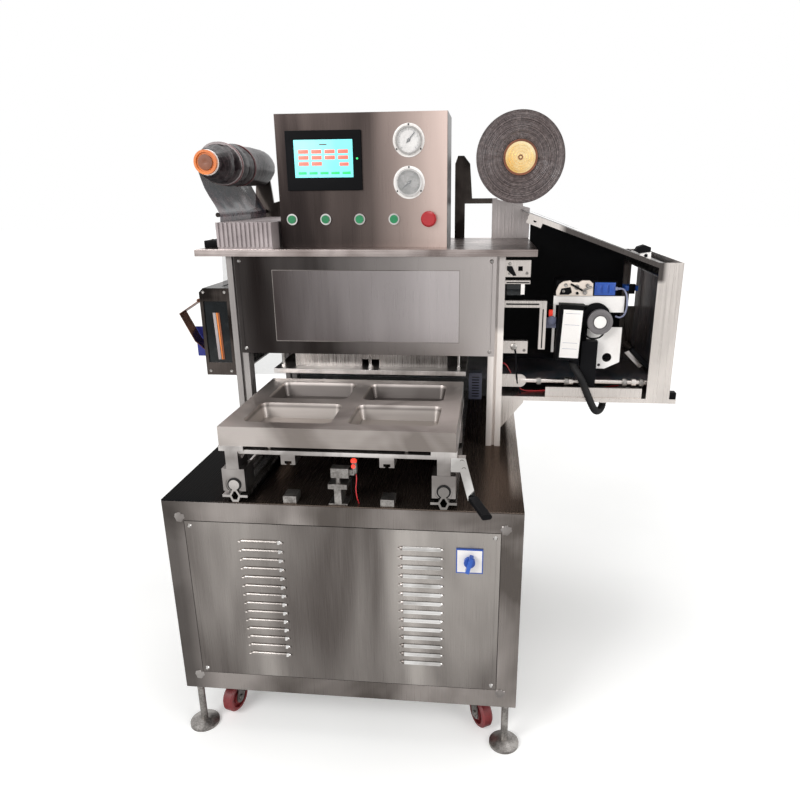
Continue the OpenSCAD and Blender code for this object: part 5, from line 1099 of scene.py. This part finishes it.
def on_case(x, z):
    """A point of the leaning case, from its top left corner."""
    return (CASE_CORNER[0] + x * math.cos(LEAN) + z * math.sin(LEAN),
            CASE_CORNER[1] - x * math.sin(LEAN) + z * math.cos(LEAN))


mesh = bmesh.new()
label = [on_case(x, z) for x, z in ((6, -9), (56, -9), (56, -137), (6, -137))]
cut_plate(mesh, label, 413.2, 414.0, 0)
for top in LABEL_BARS:
    bar = [on_case(x, z) for x, z in ((12, top), (50, top), (50, top - 0.8), (12, top - 0.8))]
    cut_plate(mesh, bar, 413.0, 413.25, 1)
hood = [on_case(x, z) for x, z in ((-4, 3), (62, 3), (62, 0.5), (-1.5, 0.5), (-1.5, -146),
                                   (-4, -146))]
cut_plate(mesh, hood, 412, 457, 2)
close_piece("coder_label", mesh, "machine", [white_paint, duct_grey, black_plastic],
            "white_paint", 0.2)

# %% [markdown]
# ## The coder's knob, head and lamp
# Behind the case the real wing is a crowded corner: a knob with a white hub, a cast
# housing with screws and a lever, a blue valve with three blocks, and a red lamp. Each
# could be an object of its own, but they never move apart. So the housing and the valve
# are one piece and the lamp a second, cut from plate and turned, and only the knob's
# face rides on the knob.

# %% Knob face
KNOB_X, KNOB_Z = 628, 1023
mesh = bmesh.new()
turned(mesh, (KNOB_X, 431.6, KNOB_Z), (0, -1, 0),
       [(0, 0), (0, 16), (0.6, 16.2), (1.4, 15.4), (1.6, 0)], 0, 60)
turned(mesh, (KNOB_X, 431.6, KNOB_Z), (0, -1, 0),
       [(0, 24), (1.2, 24.5), (1.2, 30), (0, 32.6)], 1, 72)
close_piece("coder_knob_face", mesh, "print_knob", [white_paint, grey_plastic],
            "grey_plastic", 0)

# %% Coder head
CAST_Y0, CAST_Y1 = 453, 461.6
SCREWS = ((535, 1117, 5, 1), (564, 1112, 7, 1), (592, 1116, 5.5, 1), (566, 1096, 4, 4),
          (586, 1098, 6, 1), (530, 1101, 4, 1))
mesh = bmesh.new()
cast = [(512, 1089), (511, 1101), (518, 1118), (529, 1126), (546, 1129), (552, 1124),
        (570, 1124), (577, 1129), (597, 1129), (606, 1121), (607, 1089)]
cut_plate(mesh, cast, CAST_Y0, CAST_Y1, 0)
window_cut = [(520, 1092), (524, 1108), (548, 1112), (552, 1098), (544, 1092)]
cut_plate(mesh, window_cut, 451.5, CAST_Y0, 4)
for x, z, r, look in SCREWS:
    turned(mesh, (x, CAST_Y0, z), (0, -1, 0), [(0, 0), (0, r), (3, r * 0.9), (3, r * 0.5),
                                               (2.2, r * 0.4), (2.2, 0)], look, 24)
rod(mesh, (548, 450.5, 1120), (580, 450.5, 1103), 2.6, 4)
rod(mesh, (580, 450.5, 1103), (603, 450.5, 1113), 2.6, 1)
block(mesh, 611, 664, CAST_Y0, CAST_Y1, 1091, 1124, 2)
for x0 in (615, 632, 648):
    block(mesh, x0, x0 + 12, 450.5, CAST_Y0, 1096, 1119, 2)
turned(mesh, (664, 457, 1108), (1, 0, 0), [(0, 0), (0, 5), (6, 5), (8, 3.2), (14, 3.2), (14, 0)],
       3, 20)
turned(mesh, (619, 456.8, 1034), (0, -1, 0), [(0, 0), (0, 37), (9, 37), (10, 36), (10, 0)], 4, 72)
close_piece("coder_head", mesh, "machine",
            [cream_paint, zinc, blue_plastic, duct_grey, black_plastic], "blue_plastic", 0.6)

# %% Coder lamp
mesh = bmesh.new()
rod(mesh, (497, 470, 1040), (510, 470, 1040), 9, 0)
turned(mesh, (503, 456, 1022), (0, -1, 0), [(0, 0), (0, 13), (4, 12), (6, 0)], 1, 30)
block(mesh, 488, 516, 456, 460, 1002, 1030, 1)
close_piece("coder_lamp", mesh, "machine", [lamp_red, duct_grey], "red_plastic", 0.6)

# %% [markdown]
# ## The conduit
# A black conduit leaves the coder's case, passes in front of the wing's floor and turns
# up into a gland under it. The drawing has it as a smooth tube, which could be left as
# it is. A fuller one on the same route replaces it here, because a real conduit is
# ribbed: every second ring of the tube is a little smaller.

# %% Conduit
CASE_X, CASE_Y, CASE_Z, HOSE_D = 562.4, 436, 911.5, 20
hose = lead("coder_conduit", [(CASE_X, CASE_Y, CASE_Z), (CASE_X + 6, CASE_Y - 8, CASE_Z - 12),
                              (584.4, 409.5, 875.5), (602, 409.2, 838), (619, 409.5, 801),
                              (633, 424, 780), (647, 446, 776), (656.4, 464, 786),
                              (656.4, 468, 804)],
            HOSE_D, rubber, "rubber", "stiff", "loose", 8, 0.9)
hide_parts("coder_hose")
mesh = bmesh.new()
turned(mesh, (566, 436, 923.6), (-0.04, 0, -1), [(0, 0), (0, 12), (9, 12), (12, 11), (12, 0)],
       0, 40)
close_piece("conduit_collar", mesh, "machine", [black_plastic], "black_plastic", 0)

# %% [markdown]
# ## Leads and the air tube
# Thin leads run to the knob, the clip, the wing's floor and the sensor. They are limp:
# they sag from where they leave, and lie on what is under them. They could hang by a
# physics run, but each is short, so a few points that follow the sag are enough.

# %% Leads and the air tube
lead("air_tube", [(674, 457, 1108), (686, 456, 1106), (695, 454, 1090), (697, 452, 1062),
                  (692, 453, 1040), (682, 458, 1032), (672, 464, 1034)], 4.8, duct_grey,
     "blue_plastic", "medium")
lead("knob_lead", [(588, 450, 1000), (592, 441, 990), (602, 436, 980), (616, 434, 979),
                   (630, 436, 982), (640, 442, 990), (646, 452, 1002), (646, 459, 1006)], 4.4,
     black_plastic, "black_plastic")
lead("clip_lead", [(404, 430, 953), (408, 425, 944), (411, 425, 925), (413, 430, 890),
                   (418, 440, 850), (424, 448, 830), (428, 452, 817)], 5.0, black_plastic,
     "black_plastic")
lead("floor_lead", [(374, 470, 900), (386, 469, 895), (400, 468, 872), (416, 468, 840),
                    (440, 470, 821.5), (500, 480, 819.8), (570, 496, 819.8), (640, 512, 819.8),
                    (700, 540, 819.8), (716, 556, 817)], 3.2, red_plastic, "red_plastic")
lead("sensor_lead_red", [(42, 18, 744), (44, 12, 733), (42, 10, 712), (43, 12, 690),
                         (46, 18, 671)], 2.4, red_plastic, "red_plastic")
lead("sensor_lead_black", [(36, 18, 744), (32, 12, 733), (31, 11, 712), (32, 13, 690),
                           (30, 20, 671)], 2.4, black_plastic, "black_plastic")

# %% [markdown]
# ## Fittings in the wing
# The wing's link rod carries five collars, its front sheet has hexagon heads, a clip
# and slots, and small clamps hold its cover. They could be left out, because each is
# only a few millimetres, but a bare sheet looks like a toy. Turned profiles with six
# sides make the hexagon heads, and blocks and cut plates make the rest. The slots are
# thin black strips: painted shade for their dark insides.

# %% Collars, bolts and slots
ROD_COLLARS, WING_BOLTS = (470, 545, 600, 700, 745), ((386, 1174), (386, 1150), (431, 1150),
                                                      (432, 945))
mesh = bmesh.new()
for x in ROD_COLLARS:
    turned(mesh, (x, 442, 858), (1, 0, 0), [(0, 6.2), (0, 11), (12, 11), (12, 6.2), (0, 6.2)],
           0, 30)
for x, z in WING_BOLTS:
    turned(mesh, (x, 432, z), (0, -1, 0), [(0, 0), (0, 4.6), (3, 4.2), (3, 0)], 0, 6)
turned(mesh, (404, 432, 954), (0, -1, 0), [(0, 0), (0, 9), (5, 9), (6, 6), (9, 6), (9, 0)], 0, 30)
# Thin black strips for the slots: painted shade.
for x0, x1, z0, z1 in ((380, 467, 1067, 1071), (476.4, 479.6, 951, 1056),
                       (379, 439, 1124, 1127)):
    block(mesh, x0, x1, 431.6, 432.1, z0, z1, 1)
cut_plate(mesh, [(379, 1168), (392, 1168), (404, 1144), (396, 1143), (379, 1158)], 427, 431.8, 1)
block(mesh, 379, 416, 436, 438, 1092, 1120, 2)
block(mesh, 417, 427, 434, 440, 1094, 1122, 3)
close_piece("wing_fittings", mesh, "machine", [zinc, black_plastic, smoked, white_paint],
            "aluminium", 0.3)

# %% Clamp and bracket of the cover
mesh = bmesh.new()
cut_plate(mesh, [(722, 936), (730, 944), (792, 880), (792, 866)], 480, 500, 0)
cut_plate(mesh, [(708, 930), (720, 936), (760, 894), (752, 886)], 486, 492, 2)
block(mesh, 726, 762, 640, 690, 1078, 1092, 1)
block(mesh, 736, 752, 634, 640, 1070, 1098, 0)
close_piece("wing_clamp", mesh, "machine", [black_plastic, blue_plastic, cast_alu],
            "blue_plastic", 0.6)

mesh = bmesh.new()
block(mesh, 712, 740, 424, 448, 1184, 1205, 1)
cut_plate(mesh, [(700, 1206), (706, 1217), (722, 1222), (738, 1216), (738, 1205), (712, 1201)],
          422, 450, 0)
turned(mesh, (727, 424, 1196), (0, -1, 0), [(0, 0), (0, 4.5), (2.5, 4), (2.5, 0)], 0, 20)
block(mesh, 824, 841, 421, 445, 818, 836, 0)
close_piece("cover_bracket", mesh, "machine", [black_plastic, white_paint],
            "black_plastic", 0.8)

# %% [markdown]
# ## The wiring duct and the pane's strips
# A slotted wiring duct stands at the back of the table, and the pull unit's pane has a
# grey, an orange and a brown strip and four screws. The slots could be cut with a
# boolean, but nobody looks into them. Dark bars just proud of the duct stand for them:
# painted shade where the slots are dark inside.

# %% Wiring duct
SLOTS, SLOT_Z, SLOT_PITCH, SLOT_HIGH = 8, 680, 9.6, 3.6
mesh = bmesh.new()
block(mesh, 273, 318, 872, 906, 670.2, 764, 0)
# Each slot is a dark bar: painted shade.
for k in range(SLOTS):
    z = SLOT_Z + k * SLOT_PITCH
    block(mesh, 284, 309, 871.4, 872.2, z, z + SLOT_HIGH, 1)
close_piece("wiring_duct", mesh, "machine", [duct_grey, black_plastic], "blue_plastic", 0.8)

# %% Strips and screws of the pull unit
PULL_STRIPS = ((-424, 8, 2), (-414.5, 4, 0), (-409.5, 4, 1))
mesh = bmesh.new()
for x, wide, look in PULL_STRIPS:
    strip = [(x - 4, 1040), (x - 4 + wide, 1040), (x + wide, 908), (x, 908)]
    cut_plate(mesh, strip, 421.6, 423.4, look)
for x in (-449, -388):
    for z in (875, 1097):
        turned(mesh, (x, 420, z), (0, -1, 0), [(0, 0), (0, 5), (2.2, 4.4), (2.2, 2.2), (1, 0)],
               3, 6)
close_piece("pull_strips", mesh, "machine",
            [orange_plastic, brown_plastic, grille_grey, zinc], "orange_plastic", 0)

# %% [markdown]
# ## Seals, sensor and shelf foot
# Rubber seals sit where the rails enter the bearing blocks, a sensor in the middle of
# the table glows red, and the roll bracket on the left stands on a black foot. They
# could be part of the nodes that they touch, but each has its own colour. The seals
# ride on the carriage, because they slide with it.

# %% Shaft seals
SEAL_X, SEAL_Z = 243, 713
mesh = bmesh.new()
for x in (-SEAL_X, SEAL_X):
    turned(mesh, (x, 6.2, SEAL_Z), (0, -1, 0),
           [(0, 12.9), (0, 16.4), (2.4, 16.2), (2.9, 15), (2.6, 13), (0, 12.9)], 0, 60)
close_piece("shaft_seals", mesh, "carriage", [rubber], "rubber", 0)

# %% Sensor lamp
mesh = bmesh.new()
turned(mesh, (39, 12, 776), (0, 0, 1), [(0, 0), (0, 7), (5, 7), (8, 4), (9, 0)], 0, 30)
turned(mesh, (39, 4.4, 768), (0, -1, 0), [(0, 0), (0, 5), (1.5, 4.4), (2, 0)], 0, 24)
close_piece("sensor_lamp", mesh, "machine", [lamp_red], "red_plastic", 0)

# %% Shelf foot
mesh = bmesh.new()
block(mesh, -452, -396, 470, 640, 1212.3, 1231, 0)
for y in (500, 610):
    turned(mesh, (-440, y, 1231), (0, 0, 1), [(0, 0), (0, 5), (3, 4.6), (3, 0)], 1, 6)
close_piece("shelf_foot", mesh, "machine", [black_plastic, zinc], "black_plastic", 1.2)

# %% [markdown]
# ## The background
# The machine is shown before plain white, as in a catalogue. A white world would do
# that, but it would also light the machine from all sides and wash it out. So the
# world is full white only where the camera, a mirror or a clear sheet sees it, and
# weaker as a light.

# %% Set the background
WORLD_LIGHT = 0.42
world = bpy.data.worlds.new("studio")
bpy.context.scene.world = world
world.use_nodes = True
studio = world.node_tree
studio.nodes.clear()
rays = studio.nodes.new("ShaderNodeLightPath")
seen = add(studio, "ShaderNodeMath", {0: rays.outputs["Is Camera Ray"],
                                      1: rays.outputs["Is Glossy Ray"]}, operation="MAXIMUM")
seen = add(studio, "ShaderNodeMath", {0: seen.outputs[0],
                                      1: rays.outputs["Is Transmission Ray"]},
           operation="MAXIMUM")
level = add(studio, "ShaderNodeMapRange", {"Value": seen.outputs[0],
                                           "To Min": WORLD_LIGHT, "To Max": 1.0})
sky = add(studio, "ShaderNodeBackground", {"Color": (1, 1, 1, 1),
                                           "Strength": level.outputs[0]})
world_end = studio.nodes.new("ShaderNodeOutputWorld")
studio.links.new(sky.outputs[0], world_end.inputs[0])
print("the world lights at", WORLD_LIGHT)

# %% [markdown]
# ## The light
# Steel looks like steel only when something soft and bright is mirrored in it. A sun
# would give hard shadows, and a picture of a room would put that room in the metal. So
# there are three large square lights: a key light from the front left, a weaker fill
# from the right, and a broad one from above.

# %% Set the light


def softbox(name, at, aim, size, power):
    """A square light that faces a point."""
    data = bpy.data.lights.new(name, "AREA")
    data.size = size
    data.energy = power
    lamp = bpy.data.objects.new(name, data)
    lamp.location = at
    lamp.rotation_euler = (Vector(aim) - Vector(at)).to_track_quat("-Z", "Y").to_euler()
    bpy.context.scene.collection.objects.link(lamp)


softbox("key_light", (-2.4, -3.2, 2.9), (0, 0, 0.8), 1.8, 105)
softbox("fill_light", (3.2, -2.4, 2.0), (0.2, 0, 0.8), 2.2, 50)
softbox("top_light", (0.3, 0.4, 4.0), (0, 0, 0.8), 2.6, 60)

# %% [markdown]
# ## The floor
# The machine stands on a pale floor that fades into the background. The floor could
# be a bent backdrop, but then its curve would show from the side. A large flat sheet
# is simpler: it glows a little more with the distance, only for the camera, and keeps
# the machine's shadow.

# %% Set the floor
GLOW_NEAR, GLOW_FAR = (1.2, 0.3), (4.5, 0.8)
floor_mesh = bpy.data.meshes.new("studio_floor")
floor_mesh.from_pydata([(-20, -14, 0), (20, -14, 0), (20, 26, 0), (-20, 26, 0)], [],
                       [(0, 1, 2, 3)])
studio_floor = bpy.data.objects.new("studio_floor", floor_mesh)
bpy.context.scene.collection.objects.link(studio_floor)
pale, tree, shader, coords = new_finish("pale_floor")
patches = ramp_of(tree, noise_of(tree, coords, 1.4), [(0.3, tint(238, 238, 237)),
                                                      (0.7, tint(244, 244, 243))])
tree.links.new(patches, shader.inputs["Base Color"])
shader.inputs["Roughness"].default_value = 0.9
tree.links.new(patches, shader.inputs["Emission Color"])
from_middle = add(tree, "ShaderNodeVectorMath", {0: coords}, operation="LENGTH")
fade = add(tree, "ShaderNodeMapRange", {"Value": from_middle.outputs["Value"],
                                        "From Min": GLOW_NEAR[0], "From Max": GLOW_FAR[0],
                                        "To Min": GLOW_NEAR[1], "To Max": GLOW_FAR[1]})
lift = tree.nodes.new("ShaderNodeLightPath")
lifted = add(tree, "ShaderNodeMath", {0: lift.outputs["Is Camera Ray"], 1: fade.outputs[0]},
             operation="MULTIPLY")
tree.links.new(lifted.outputs[0], shader.inputs["Emission Strength"])
floor_mesh.materials.append(pale)
bpy.context.scene.view_settings.view_transform = "Standard"
print("view transform:", bpy.context.scene.view_settings.view_transform)
